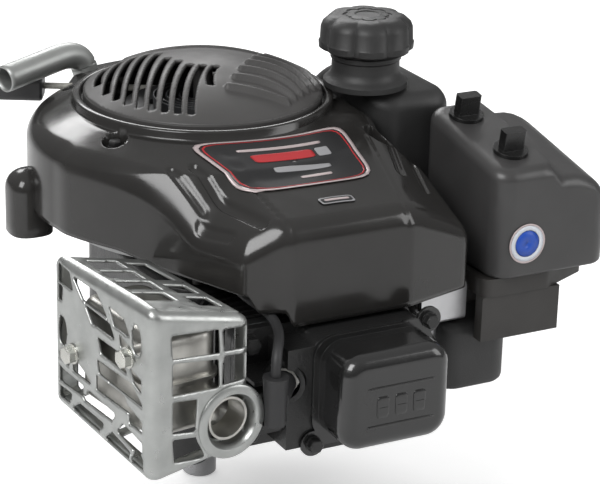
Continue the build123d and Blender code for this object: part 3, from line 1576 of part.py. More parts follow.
def guard_form(inset):
    """Tapered box of the muffler guard in its own plan frame: x across the front, y to the back."""
    with BuildPart() as form:
        with BuildSketch():
            with Locations((guard_width / 2, guard_length / 2)):
                RectangleRounded(guard_width - 2 * inset, guard_length - 2 * inset, guard_corner_radius - inset)
        extrude(amount=200)
        high = Plane(
            origin=(0, 0, guard_high - inset),
            z_dir=Vector(guard_width, 0, guard_right_high - guard_high).cross(
                Vector(0, guard_length, guard_back_high - guard_high)),
        )
        low = Plane(
            origin=(0, 0, guard_low + inset),
            z_dir=Vector(guard_width, 0, guard_right_low - guard_low).cross(
                Vector(0, guard_length, guard_back_low - guard_low)),
        )
        split(bisect_by=high, keep=Keep.BOTTOM)
        split(bisect_by=low, keep=Keep.TOP)
        fillet(form.faces().sort_by(Axis.Z)[-1].edges(), guard_edge_radius - inset)
        fillet(form.faces().sort_by(Axis.Z)[0].edges(), guard_edge_radius - inset)
    return form.part


guard_outside = guard_form(0)
guard_inside = guard_form(guard_sheet)
# windows of the long face: (along, height) corners of a braced panel
side_windows = [
    [(14, 60), (34, 62), (14, 78)], [(38, 63), (58, 64), (38, 80)],
    [(40, 86), (64, 68), (64, 76), (40, 95)], [(40, 101), (70, 78), (70, 86), (40, 110)],
    [(40, 116), (72, 92), (72, 102), (48, 121)], [(14, 84), (34, 68), (34, 76), (14, 92)],
    [(58, 124), (80, 108), (80, 118), (70, 126)], [(84, 70), (104, 72), (104, 80), (84, 82)],
    [(90, 120), (104, 110), (104, 124), (94, 130)], [(62, 62), (80, 64), (80, 68), (70, 70)],
    [(14, 98), (34, 84), (34, 91), (14, 105)],
]
side_bolt_places = [(84, 96), (24, 116)]
side_holes = [(98, 84, 4.0), (88, 106, 2.5), (74, 84, 2.5), *[(*place, 3.1) for place in side_bolt_places]]
front_windows = [
    (15, 127, 11, 12), (34, 125, 20, 12), (15, 108, 11, 18), (33, 108, 20, 16),
    (14, 84, 9, 20), (14, 64, 9, 14), (27, 88, 6, 14), (56, 112, 9, 18),
]
top_windows = [(22, 20), (22, 38), (22, 56), (44, 20), (44, 38), (44, 56), (32, 76), (32, 92)]
with BuildPart() as guard_local:
    add(guard_outside)
    add(guard_inside, mode=Mode.SUBTRACT)
    # open towards the engine
    with BuildSketch(x_plane(guard_width - guard_sheet - 0.1)):
        with Locations((guard_length / 2 + 6, 100)):
            Rectangle(guard_length - 18, 200)
    extrude(amount=10, mode=Mode.SUBTRACT)
    with BuildSketch(x_plane(-1)):
        for corners in side_windows:
            with BuildLine():
                Polyline(*corners, close=True)
            make_face()
        for along, height, radius in side_holes:
            with Locations((along, height)):
                Circle(radius)
    extrude(amount=8, mode=Mode.SUBTRACT)
    with BuildSketch(y_plane(-1)):
        for across, height, width, tall in front_windows:
            with Locations((across, -height)):
                RectangleRounded(width, tall, 2)
        with Locations((outlet_place[0], -outlet_place[1])):
            Circle(outlet_radius + 5)
    extrude(amount=8, mode=Mode.SUBTRACT)
    with BuildSketch(Plane.XY.offset(100)):
        with Locations(*top_windows):
            RectangleRounded(16, 13, 2)
    extrude(amount=80, mode=Mode.SUBTRACT)
    with BuildSketch(Plane.XY):
        with GridLocations(24, 22, 2, 4, align=(Align.MIN, Align.MIN)):
            with Locations((20, 20)):
                RectangleRounded(18, 15, 2)
    extrude(amount=80, mode=Mode.SUBTRACT)
pipe_points = [
    (head_left - 3, port_y, exhaust_port_z), (head_left - 14, port_y, exhaust_port_z + 3), (-80, port_y, 84),
]
guard_location = Location((guard_corner[0], guard_corner[1], 0), (0, 0, -guard_turn))
with BuildPart() as muffler_guard:
    with Locations(guard_location):
        add(guard_local.part)
    add(tube_run([pipe_points[0], pipe_points[1], (-92, port_y, 103)], port_radius + 3.5), mode=Mode.SUBTRACT)
muffler_guard.part.label = "muffler_guard"
export_step(muffler_guard.part, "parts/muffler_guard.step")

muffler_inset = 9.0
with BuildPart() as muffler_local:
    with BuildSketch(Plane.XY.offset(guard_back_low + 6)):
        with Locations((guard_width / 2 - 1, guard_length / 2 + 1)):
            RectangleRounded(guard_width - 2 * muffler_inset - 2, guard_length - 26, 12)
    extrude(amount=guard_right_high - guard_back_low - 14)
    fillet(muffler_local.faces().sort_by(Axis.Z)[-1].edges(), 7)
    fillet(muffler_local.faces().sort_by(Axis.Z)[0].edges(), 7)
    # rolled seam round the middle
    with BuildSketch(Plane.XY.offset(96)):
        with Locations((guard_width / 2 - 1, guard_length / 2 + 1)):
            RectangleRounded(guard_width - 2 * muffler_inset + 3, guard_length - 21, 14)
    extrude(amount=2.5)
    # outlet tube through the guard's ring
    with BuildSketch(y_plane(-1.0)):
        with Locations((outlet_place[0], -outlet_place[1])):
            Circle(outlet_radius)
    extrude(amount=17)
    with BuildSketch(y_plane(-2)):
        with Locations((outlet_place[0], -outlet_place[1])):
            Circle(outlet_radius - 1.5)
    extrude(amount=30, mode=Mode.SUBTRACT)
    # spacers that carry the guard's bolts
    with BuildSketch(x_plane(guard_sheet + 0.1)):
        with Locations(*side_bolt_places):
            Circle(6)
    extrude(amount=12)
    with BuildSketch(x_plane(0)):
        with Locations(*side_bolt_places):
            Circle(3 + running_gap)
    extrude(amount=9.5, mode=Mode.SUBTRACT)
with BuildPart() as muffler:
    with Locations(guard_location):
        add(muffler_local.part)
    # inlet pipe with its flange on the head
    add(tube_run(pipe_points, port_radius + 1.5))
    with BuildSketch(x_plane(head_left - 3)):
        with Locations((port_y, exhaust_port_z)):
            RectangleRounded(30, 22, 4)
    extrude(amount=2.9)
    add(tube_run([(head_left, port_y, exhaust_port_z), *pipe_points[1:]], port_radius), mode=Mode.SUBTRACT)
muffler.part.label = "muffler"
export_step(muffler.part, "parts/muffler.step")

# bolts through the guard's long face into the muffler's spacers
guard_bolt = flange_bolt(3, 9, 10, 5)
with BuildPart() as guard_bolts_local:
    with Locations(*[Location((0, along, height), (0, -90, 0)) for along, height in side_bolt_places]):
        add(guard_bolt)
with BuildPart() as guard_bolts:
    with Locations(guard_location):
        add(guard_bolts_local.part)
guard_bolts.part.label = "guard_bolts"
export_step(guard_bolts.part, "parts/guard_bolts.step")
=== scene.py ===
import json
import math

import bpy
import numpy as np
from mathutils import Matrix, Vector


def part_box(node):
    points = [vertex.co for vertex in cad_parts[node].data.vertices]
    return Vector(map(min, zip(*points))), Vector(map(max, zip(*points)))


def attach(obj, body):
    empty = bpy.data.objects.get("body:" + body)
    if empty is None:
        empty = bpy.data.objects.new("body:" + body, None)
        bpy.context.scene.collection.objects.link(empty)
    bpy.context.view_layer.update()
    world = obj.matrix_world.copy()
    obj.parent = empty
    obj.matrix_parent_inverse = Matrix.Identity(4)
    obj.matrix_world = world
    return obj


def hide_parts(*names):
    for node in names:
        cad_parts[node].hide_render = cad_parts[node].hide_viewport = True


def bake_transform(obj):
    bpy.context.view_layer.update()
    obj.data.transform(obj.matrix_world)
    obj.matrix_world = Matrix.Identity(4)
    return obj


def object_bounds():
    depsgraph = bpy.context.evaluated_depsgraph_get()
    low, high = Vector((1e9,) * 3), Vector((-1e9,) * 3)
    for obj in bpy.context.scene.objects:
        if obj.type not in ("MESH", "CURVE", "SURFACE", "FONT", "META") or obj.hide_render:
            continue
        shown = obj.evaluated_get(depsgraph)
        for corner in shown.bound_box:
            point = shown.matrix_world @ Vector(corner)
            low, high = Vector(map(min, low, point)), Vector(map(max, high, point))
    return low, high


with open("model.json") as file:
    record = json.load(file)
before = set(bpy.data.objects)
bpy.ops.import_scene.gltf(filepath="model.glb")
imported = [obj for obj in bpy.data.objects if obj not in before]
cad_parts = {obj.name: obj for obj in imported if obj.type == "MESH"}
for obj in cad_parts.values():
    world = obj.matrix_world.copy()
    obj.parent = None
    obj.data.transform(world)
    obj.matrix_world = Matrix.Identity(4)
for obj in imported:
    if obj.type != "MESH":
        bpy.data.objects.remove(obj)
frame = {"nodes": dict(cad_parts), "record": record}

cad_low, cad_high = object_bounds()
nodes = frame["nodes"]
show = bpy.context.scene.collection.objects.link
MM = 0.001  # the script's shapes are in millimetres, Blender's in metres


# ---- materials ----
def make_material(name, colour, roughness, metallic=0.0, tone=0.12, tone_scale=25.0, rough_spread=0.06,
                  grain=1500.0, grain_depth=0.02, edge=0.0, edge_radius=0.5, coat=0.0, weave=0.0):
    """Procedural finish. Lengths are in millimetres: grain_depth is the height of the bumps, and
    edge_radius rounds the shading of sharp edges. Edge is how far worn edges move to a lighter tone,
    tone and rough_spread are how far colour and roughness wander, and weave swaps the grain for
    threads."""
    material = bpy.data.materials.new(name)
    material.use_nodes = True
    tree = material.node_tree
    new, link = tree.nodes.new, tree.links.new
    shader = tree.nodes["Principled BSDF"]
    where = new("ShaderNodeTexCoord").outputs["Object"]

    def noise(scale, detail, source=where):
        node = new("ShaderNodeTexNoise")
        node.inputs["Scale"].default_value = scale
        node.inputs["Detail"].default_value = detail
        link(source, node.inputs["Vector"])
        return node.outputs["Fac"]

    def spread(source, low, high):
        node = new("ShaderNodeMapRange")
        node.inputs["From Min"].default_value = 0.3
        node.inputs["From Max"].default_value = 0.7
        node.inputs["To Min"].default_value = low
        node.inputs["To Max"].default_value = high
        link(source, node.inputs["Value"])
        return node.outputs["Result"]

    def scaled(factor):
        return tuple(min(1.0, c * factor) for c in colour) + (1.0,)

    first_colour, second_colour, mixed_colour = 6, 7, 2  # sockets of a mix node set to colour
    mix = new("ShaderNodeMix")
    mix.data_type = "RGBA"
    link(spread(noise(tone_scale, 5.0), 0.0, 1.0), mix.inputs["Factor"])
    mix.inputs[first_colour].default_value = scaled(1 - tone)
    mix.inputs[second_colour].default_value = scaled(1 + tone)
    shade = mix.outputs[mixed_colour]

    bevel = new("ShaderNodeBevel")
    bevel.samples = 4
    bevel.inputs["Radius"].default_value = edge_radius * MM
    if edge:
        geometry = new("ShaderNodeNewGeometry")
        dot = new("ShaderNodeVectorMath")
        dot.operation = "DOT_PRODUCT"
        link(bevel.outputs["Normal"], dot.inputs[0])
        link(geometry.outputs["True Normal"], dot.inputs[1])
        worn = new("ShaderNodeMapRange")
        worn.inputs["From Min"].default_value = 0.97
        worn.inputs["From Max"].default_value = 0.75
        worn.inputs["To Max"].default_value = edge
        link(dot.outputs["Value"], worn.inputs["Value"])
        wear_mix = new("ShaderNodeMix")
        wear_mix.data_type = "RGBA"
        link(worn.outputs["Result"], wear_mix.inputs["Factor"])
        link(shade, wear_mix.inputs[first_colour])
        worn_colour = tuple(min(1.0, c * 1.6 + 0.06) for c in colour) + (1.0,)
        wear_mix.inputs[second_colour].default_value = worn_colour
        shade = wear_mix.outputs[mixed_colour]
    link(shade, shader.inputs["Base Color"])

    link(spread(noise(tone_scale * 2.3, 6.0), roughness - rough_spread, roughness + rough_spread),
         shader.inputs["Roughness"])
    bump = new("ShaderNodeBump")
    bump.inputs["Distance"].default_value = grain_depth * MM
    if weave:
        wave = new("ShaderNodeTexWave")
        wave.inputs["Scale"].default_value = weave
        wave.inputs["Distortion"].default_value = 2.0
        link(where, wave.inputs["Vector"])
        link(wave.outputs["Fac"], bump.inputs["Height"])
    else:
        link(noise(grain, 3.0), bump.inputs["Height"])
    link(bevel.outputs["Normal"], bump.inputs["Normal"])
    link(bump.outputs["Normal"], shader.inputs["Normal"])
    shader.inputs["Metallic"].default_value = metallic
    shader.inputs["Coat Weight"].default_value = coat
    shader.inputs["Coat Roughness"].default_value = 0.08
    material.diffuse_color = (*colour, 1.0)
    return material


# One finish per material slot of the record. Colours are linear, and wear is only on edges.
finishes = {
    "cast_aluminium": dict(colour=(0.42, 0.42, 0.42), roughness=0.5, metallic=0.85, grain=900,
                           grain_depth=0.15, edge=0.3),
    "gasket_sheet": dict(colour=(0.10, 0.11, 0.11), roughness=0.85, grain_depth=0.05),
    "zinc_bolts": dict(colour=(0.62, 0.62, 0.58), roughness=0.28, metallic=1.0, tone=0.2, edge=0.4),
    "black_rubber": dict(colour=(0.022, 0.022, 0.023), roughness=0.55, grain=1200, grain_depth=0.05),
    "machined_steel": dict(colour=(0.50, 0.50, 0.51), roughness=0.25, metallic=1.0, grain=3000,
                           grain_depth=0.01),
    "pressed_steel": dict(colour=(0.52, 0.51, 0.47), roughness=0.35, metallic=1.0, tone=0.2),
    "rod_aluminium": dict(colour=(0.58, 0.58, 0.59), roughness=0.35, metallic=0.9, grain_depth=0.05),
    "ring_iron": dict(colour=(0.25, 0.25, 0.26), roughness=0.35, metallic=0.9),
    "spring_steel": dict(colour=(0.22, 0.22, 0.23), roughness=0.35, metallic=1.0),
    "valve_cover_paint": dict(colour=(0.012, 0.012, 0.012), roughness=0.22, coat=0.5, grain=300,
                              grain_depth=0.06, edge=0.1),
    "housing_plastic": dict(colour=(0.022, 0.021, 0.020), roughness=0.17, tone=0.1, rough_spread=0.05,
                            grain=180, grain_depth=0.03, edge=0.12),
    "screen_plastic": dict(colour=(0.055, 0.053, 0.052), roughness=0.48, grain=2500, grain_depth=0.04,
                           edge=0.2),
    "flywheel_casting": dict(colour=(0.40, 0.40, 0.40), roughness=0.5, metallic=0.8, grain_depth=0.1),
    "starter_plastic": dict(colour=(0.030, 0.030, 0.031), roughness=0.42, grain=2500, grain_depth=0.04,
                            edge=0.15),
    "rope_fibre": dict(colour=(0.50, 0.49, 0.45), roughness=0.85, weave=400, grain_depth=0.4),
    "tube_steel": dict(colour=(0.40, 0.41, 0.40), roughness=0.42, metallic=0.75, tone=0.15, grain=700,
                       grain_depth=0.05),
    "coil_resin": dict(colour=(0.03, 0.027, 0.025), roughness=0.5),
    "plug_ceramic": dict(colour=(0.75, 0.74, 0.70), roughness=0.2, coat=0.5),
    "tank_plastic": dict(colour=(0.024, 0.024, 0.024), roughness=0.48, grain=1300, grain_depth=0.12,
                         edge=0.15),
    "cleaner_plastic": dict(colour=(0.045, 0.044, 0.044), roughness=0.36, grain=2200, grain_depth=0.04,
                            edge=0.15),
    "base_plastic": dict(colour=(0.030, 0.028, 0.026), roughness=0.5, grain=1500, grain_depth=0.06,
                         edge=0.15),
    "knob_plastic": dict(colour=(0.010, 0.010, 0.010), roughness=0.25, edge=0.2),
    "filter_paper": dict(colour=(0.70, 0.64, 0.48), roughness=0.8, weave=300, grain_depth=0.5),
    "filler_plastic": dict(colour=(0.03, 0.03, 0.03), roughness=0.45, grain_depth=0.06),
    "aluminised_steel": dict(colour=(0.50, 0.49, 0.46), roughness=0.38, metallic=1.0, tone=0.2,
                             tone_scale=60),
    "guard_steel": dict(colour=(0.40, 0.41, 0.40), roughness=0.36, metallic=0.85, tone=0.1,
                        tone_scale=60, rough_spread=0.1, grain=250, grain_depth=0.06, edge=0.25),
}
materials = {name: make_material(name, **finish) for name, finish in finishes.items()}

# The castings and the bolts that hold them are sprayed black in the photo.
black_paint = make_material("black_paint", (0.016, 0.016, 0.016), 0.35, tone=0.2, grain=500,
                            grain_depth=0.25, edge=0.12)
painted = ("crankcase", "cylinder_head", "sump", "intake_manifold", "valve_cover_bolts", "head_bolts",
           "housing_screws", "sump_bolts")
slot_of = {entry["node"]: entry["material_slot"] for entry in frame["record"]["subparts"]}
for name, node in nodes.items():
    node.data.materials.clear()
    node.data.materials.append(black_paint if name in painted else materials[slot_of[name]])


# ---- pieces ----
def add_piece(name, points, faces, slot, body="engine", sharp=38.0, material=None):
    """New mesh piece, in millimetres, smooth apart from edges sharper than the angle."""
    mesh = bpy.data.meshes.new(name)
    mesh.from_pydata([tuple(c * MM for c in point) for point in points], [], faces)
    mesh.polygons.foreach_set("use_smooth", [True] * len(mesh.polygons))
    mesh.set_sharp_from_angle(angle=math.radians(sharp))
    mesh.materials.append(material or materials[slot])
    piece = bpy.data.objects.new(name, mesh)
    show(piece)
    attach(piece, body)
    return piece


def grid_faces(rows, columns, closed=False):
    """Quads of a grid of points stored row by row; closed joins the last column to the first."""
    reach = columns if closed else columns - 1
    return [(row * columns + column, row * columns + (column + 1) % columns,
             (row + 1) * columns + (column + 1) % columns, (row + 1) * columns + column)
            for row in range(rows - 1) for column in range(reach)]


def thicken(piece, thickness):
    """Gives a sheet its thickness, inwards from the side its normals point to."""
    shell = piece.modifiers.new("thickness", "SOLIDIFY")
    shell.thickness = thickness * MM
    shell.offset = -1.0
    return piece


def lathe(name, profile, centre, slot, body="engine", steps=64, lobes=0, lobe_depth=0.0):
    """Turned piece about a vertical axis through centre. Profile is (radius, height); lobes scallop
    the outside."""
    points = []
    for radius, height in profile:
        for step in range(steps):
            turn = 2 * math.pi * step / steps
            wave = lobe_depth * abs(math.sin(lobes * turn / 2)) ** 0.7 if lobes else 0.0
            reach = radius - (lobe_depth - wave) if radius > lobe_depth * 4 else radius
            points.append((centre[0] + reach * math.cos(turn), centre[1] + reach * math.sin(turn), height))
    return add_piece(name, points, grid_faces(len(profile), steps, closed=True), slot, body)


def smooth_min(a, b, blend):
    """Lower of two fields, rounded where they meet."""
    mix = np.clip(0.5 + 0.5 * (b - a) / blend, 0.0, 1.0)
    return b * (1 - mix) + a * mix - blend * mix * (1 - mix)


def smooth_step(low, high, value):
    """0 below low, 1 above high, and a smooth rise between them."""
    t = np.clip((value - low) / (high - low), 0.0, 1.0)
    return t * t * (3 - 2 * t)


# ---- blower housing: one polar sheet around the crankshaft ----
ring_inner, ring_outer, ring_top = 76.5, 81.5, 203.5  # raised ring round the starter cover
ring_low = 202.3  # where the ring's rounding starts
throat_radius, throat_low, throat_top = 68.0, 182.0, 198.6
drum_radius, drum_top, drum_fall = 110.0, 198.0, 0.40
hood_z, hood_y, hood_slope = 198.0, -60.0, 0.27  # the hood slopes down in front of hood_y
hood_outline = [(-104, -26), (-56, -128), (-46, -152), (-18, -163), (60, -163), (108, -150), (108, -98),
                (90, -70), (60, 0)]
corner_round = 7.0
flat_side_x = 92.0
skirt_z = 109.5
top_round = 11.0
housing_wall = 2.0
# sunken grooves of the shoulders: both ends in plan, half width, depth
shoulder_grooves = [
    ((-49, -92), (-30, -146), 2.6, 2.2),
    ((-62, -88), (-52, -112), 2.2, 1.6),
    ((-56, -116), (-46, -136), 2.2, 1.5),
    ((88, -82), (76, -118), 2.0, 1.6),
    ((97, -92), (88, -128), 2.0, 1.4),
]
# wells of the housing screws: x, y and the height of the floor
screw_wells = [(-78, -43, 190.0), (80, -80, 176.0), (-60, 66, 190.0), (36, 82, 190.0)]
well_radius = 8.2
well_floor_radius = 6.6


def inset_outline(corners, inset):
    """Corners of a counter-clockwise outline moved inwards by inset."""
    moved = []
    for before, corner, after in zip(corners[-1:] + corners[:-1], corners, corners[1:] + corners[:1]):
        first = np.array(corner, float) - before
        second = np.array(after, float) - corner
        first /= np.linalg.norm(first)
        second /= np.linalg.norm(second)
        bisector = np.array([-first[1] - second[1], first[0] + second[0]])
        bisector /= np.linalg.norm(bisector)
        lean = bisector @ np.array([-first[1], first[0]])
        moved.append(np.array(corner, float) + bisector * inset / lean)
    return moved


def outline_distance(x, y, corners):
    """Signed distance to a closed outline, negative inside."""
    nearest = np.full(np.shape(x), 1e9)
    crossings = np.zeros(np.shape(x), int)
    for (ax, ay), (bx, by) in zip(corners, corners[1:] + corners[:1]):
        ex, ey = bx - ax, by - ay
        along = np.clip(((x - ax) * ex + (y - ay) * ey) / (ex * ex + ey * ey), 0, 1)
        nearest = np.minimum(nearest, np.hypot(x - ax - along * ex, y - ay - along * ey))
        crosses = (ay > y) != (by > y)
        where = ax + (y - ay) * ex / (ey if ey else 1e-9)
        crossings += crosses & (x < where)
    return np.where(crossings % 2 == 1, -nearest, nearest)


inner_corners = inset_outline(hood_outline, corner_round)


def housing_distance(x, y):
    """Signed distance to the housing's plan outline."""
    hood = outline_distance(x, y, inner_corners) - corner_round
    drum = np.hypot(x, y) - drum_radius
    plan = smooth_min(hood, drum, 14.0)
    # the side next to the tank is flat, but only behind the hood
    flat_side = flat_side_x - x + 400 * smooth_step(-50, -75, y)
    return -smooth_min(-plan, flat_side, 3.0)


def left_seam(y):
    """x of the line between the raised middle of the hood and its left shoulder."""
    return -24.0 - 0.09 * (y + 120)


def right_seam(y):
    """x of the line between the raised middle of the hood and its right shoulder."""
    return 56.0 + 0.19 * (y + 163)


def housing_top(x, y):
    """Height of the housing's upper skin before its rim is rounded."""
    radius = np.hypot(x, y)
    drum = drum_top - drum_fall * np.maximum(radius - ring_outer, 0)
    drum = drum - 0.9 * np.maximum(radius - drum_radius, 0)
    middle = hood_z + hood_slope * np.minimum(y - hood_y, 0)
    left = middle + 0.72 * (x - left_seam(y)) + 1.0
    right = middle - 0.55 * (x - right_seam(y)) + 1.0
    hood = smooth_min(smooth_min(middle, left, 4.0), right, 5.0)
    height = -smooth_min(-drum, -hood, 5.0)
    height = smooth_min(height, np.full(np.shape(x), drum_top + 0.6), 3.0)
    for (ax, ay), (bx, by), half, depth in shoulder_grooves:
        span = (bx - ax) ** 2 + (by - ay) ** 2
        share = np.clip(((x - ax) * (bx - ax) + (y - ay) * (by - ay)) / span, 0, 1)
        away = np.hypot(x - ax - share * (bx - ax), y - ay - share * (by - ay))
        height = height - depth * (1 - smooth_step(half - 1.0, half + 1.0, away))
    # fine step lines where the raised middle meets the shoulders
    for seam in (left_seam, right_seam):
        away = np.abs(x - seam(y))
        height = height - 0.9 * (1 - smooth_step(0.3, 1.3, away)) * (y < -84)
    for well_x, well_y, floor in screw_wells:
        away = np.hypot(x - well_x, y - well_y)
        sunk = (np.minimum(floor, height) - height) * (1 - smooth_step(well_floor_radius, 7.8, away))
        height = np.where(away < well_radius, height + sunk, height)
    return height


def skirt_low(turn):
    """Lower edge of the skirt, raised over the muffler at the left and over the ignition lead."""
    degrees = np.degrees(turn) % 360
    over_side = smooth_step(150, 165, degrees) * (1 - smooth_step(216, 236, degrees))
    over_muffler = smooth_step(216, 236, degrees) * (1 - smooth_step(254, 257, degrees))
    over_lead = smooth_step(254, 257, degrees) * (1 - smooth_step(262, 264, degrees))
    return skirt_z + 26 * over_side + 20 * over_muffler + 9 * over_lead


turn_count = 640
turns = np.linspace(0, 2 * math.pi, turn_count, endpoint=False)
across, along = np.cos(turns), np.sin(turns)

# how far the outline is from the crankshaft in each direction, by halving
near, far = np.full(turn_count, 60.0), np.full(turn_count, 240.0)
for _ in range(40):
    middle_reach = (near + far) / 2
    outside = housing_distance(middle_reach * across, middle_reach * along) > 0
    near, far = np.where(outside, near, middle_reach), np.where(outside, middle_reach, far)
reach = near

ring_section = [
    (throat_radius, throat_low),
    (throat_radius, throat_top),
    (ring_inner - 0.3, throat_top),
    (ring_inner, throat_top + 0.6),
    (ring_inner, ring_low),
    (ring_inner + 0.5, ring_top - 0.4),
    (ring_inner + 1.5, ring_top),
    (ring_outer - 1.5, ring_top),
    (ring_outer - 0.5, ring_top - 0.4),
    (ring_outer, ring_low),
    (ring_outer, drum_top + 0.4),
]
points = []
for row_radius, row_z in ring_section:
    points += list(zip(row_radius * across, row_radius * along, np.full(turn_count, row_z)))

# upper skin, with rows closer together towards the rim
top_rows, wall_rows = 96, 14
for row in range(1, top_rows + 1):
    share = 1 - (1 - row / top_rows) ** 1.25
    radius = ring_outer + 0.3 + (reach - ring_outer - 0.3) * share
    x, y = radius * across, radius * along
    edge = np.clip(top_round + housing_distance(x, y), 0, top_round)
    drop = top_round - np.sqrt(np.maximum(top_round ** 2 - edge ** 2, 0))
    clear_of_ring = smooth_step(0, 3, radius - ring_outer)
    z = housing_top(x, y) - drop
    z = z * clear_of_ring + (1 - clear_of_ring) * np.minimum(z, drum_top + 0.4)
    points += list(zip(x, y, z))

# skirt, straight down from the rim
rim_z = housing_top(x, y) - drop
for row in range(1, wall_rows + 1):
    z = rim_z + (skirt_low(turns) - rim_z) * row / wall_rows
    points += list(zip(reach * across, reach * along, z))
row_total = len(ring_section) + top_rows + wall_rows
housing_faces = [face[::-1] for face in grid_faces(row_total, turn_count, True)]
housing_skin = add_piece("housing_skin", points, housing_faces, "housing_plastic", sharp=50.0)
thicken(housing_skin, housing_wall)
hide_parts("blower_housing")


def rounded_post(name, centre, radii, low, high, dome, slot):
    """Upright post of superellipse plan with a domed top and closed foot."""
    levels = [(0.0, low), (0.96, low), (1.0, low + 1)]
    levels += [(1.0, low + (high - dome - low) * step / 4) for step in range(1, 5)]
    for step in range(1, 9):
        lean = step * math.pi / 16
        levels.append((math.cos(lean), high - dome + dome * math.sin(lean)))
    steps = 48
    post = []
    for scale, height in levels:
        for step in range(steps):
            turn = 2 * math.pi * step / steps
            c, s = math.cos(turn), math.sin(turn)
            post.append((centre[0] + scale * radii[0] * math.copysign(abs(c) ** 0.75, c),
                         centre[1] + scale * radii[1] * math.copysign(abs(s) ** 0.75, s), height))
    return add_piece(name, post, grid_faces(len(levels), steps, True), slot)


rounded_post("housing_corner_boss", centre=(-107.5, 24.5), radii=(14.0, 14.0), low=118.0, high=160.0,
             dome=13.0, slot="housing_plastic")


# ---- label on the hood ----
label_colours = {
    "panel": ("label_panel", (0.012, 0.012, 0.013), 0.35, 0.0),
    "silver": ("label_silver", (0.52, 0.44, 0.44), 0.35, 0.3),
    "red": ("label_red", (0.42, 0.015, 0.02), 0.35, 0.0),
    "grey": ("label_grey", (0.30, 0.30, 0.31), 0.4, 0.0),
    "blue": ("sticker_blue", (0.01, 0.07, 0.42), 0.35, 0.0),
    "white": ("sticker_white", (0.62, 0.65, 0.70), 0.4, 0.0),
}
label_finishes = {name: make_material(*look, tone=0.05, grain_depth=0.005)
                  for name, look in label_colours.items()}
label_corners = [(-47.0, -71.5), (58.0, -71.0), (54.0, -127.0), (-27.0, -126.0)]
label_bow = 13.0  # how far the top edge dips round the ring
label_film = 0.3


def on_label(u, v, lift):
    """Point of the hood for label coordinates u, v in -1..1, raised by lift."""
    s, t = (u + 1) / 2, (1 - v) / 2
    top = [label_corners[0][k] * (1 - s) + label_corners[1][k] * s for k in (0, 1)]
    low = [label_corners[3][k] * (1 - s) + label_corners[2][k] * s for k in (0, 1)]
    x = top[0] * (1 - t) + low[0] * t
    y = top[1] * (1 - t) + low[1] * t - label_bow * (1 - (2 * s - 1) ** 2) * (1 - t)
    return x, y, float(housing_top(np.array(x), np.array(y))) + lift


def label_patch(name, inner, outer, lift, finish, centre=(0.0, 0.0), half=(1.0, 1.0)):
    """Film between two rounded rectangles in label coordinates; inner 0 gives a filled one."""
    steps, rings = 64, 14 if inner == 0 else 2
    patch = []
    for ring in range(rings + 1):
        scale = inner + (outer - inner) * ring / rings
        for step in range(steps):
            turn = 2 * math.pi * step / steps
            c, s = math.cos(turn), math.sin(turn)
            norm = (abs(c) ** 7 + abs(s) ** 7) ** (1 / 7)
            u = centre[0] + half[0] * scale * c / norm
            v = centre[1] + half[1] * scale * s / norm
            patch.append(on_label(u, v, lift))
    piece = add_piece(name, patch, grid_faces(rings + 1, steps, True), "housing_plastic", sharp=60,
                      material=label_finishes[finish])
    return thicken(piece, label_film)


label_patch("label_panel", 0.0, 0.97, 0.55, "panel")
label_patch("label_border", 0.95, 1.0, 0.75, "silver")
label_patch("label_line", 0.905, 0.925, 0.7, "red")
# plain bars stand for the print: centre, half size and finish
label_bars = [
    ((0.0, 0.56), (0.56, 0.05), "silver"),
    ((-0.06, 0.20), (0.42, 0.16), "red"),
    ((0.50, 0.20), (0.10, 0.16), "grey"),
    ((0.06, -0.28), (0.42, 0.07), "grey"),
    ((0.16, -0.60), (0.24, 0.05), "silver"),
]
for number, (centre, half, finish) in enumerate(label_bars):
    label_patch(f"label_bar_{number}", 0.0, 1.0, 0.8, finish, centre, half)
badge_centre = (0.06, -1.78)
badge_layers = [((0.30, 0.14), "grey", 0.6), ((0.27, 0.10), "panel", 0.8), ((0.22, 0.04), "silver", 1.0)]
for number, (half, finish, lift) in enumerate(badge_layers):
    label_patch(f"hood_badge_{number}", 0.0, 1.0, lift, finish, badge_centre, half)


# ---- muffler guard ----
guard_turn = math.radians(8.3)
guard_corner = (-124.0, -200.0)
guard_length, guard_width, guard_round = 107.0, 66.0, 7.0
guard_return = 9.0  # the sheet turns in at the back and at the right front corner
guard_sheet = 1.4
guard_cell = 1.25
guard_high, guard_fall = 151.0, 16.0  # the lid falls towards the outlet side
guard_foot, guard_rise = 47.0, 9.0  # and the lower rim rises
guard_bend, guard_lip = 6.0, 4.0  # bend radii of the upper and the lower rim
outlet_u, outlet_z, outlet_rim = 53.0, 73.0, 21.0


def guard_place(u, v, z):
    """Guard coordinates, u across the front and v towards the back, to the row frame."""
    return (guard_corner[0] + u * math.cos(guard_turn) - v * math.sin(guard_turn),
            guard_corner[1] + u * math.sin(guard_turn) + v * math.cos(guard_turn), z)


def guard_top(u, v):
    return guard_high - guard_fall * u / guard_width - v / guard_length


def guard_low(u, v):
    return guard_foot + guard_rise * u / guard_width + 12.0 * v / guard_length


def ellipse(u, v, half_u, half_v, steps=20):
    turns = [2 * math.pi * step / steps for step in range(steps)]
    return [(u + half_u * math.cos(turn), v + half_v * math.sin(turn)) for turn in turns]


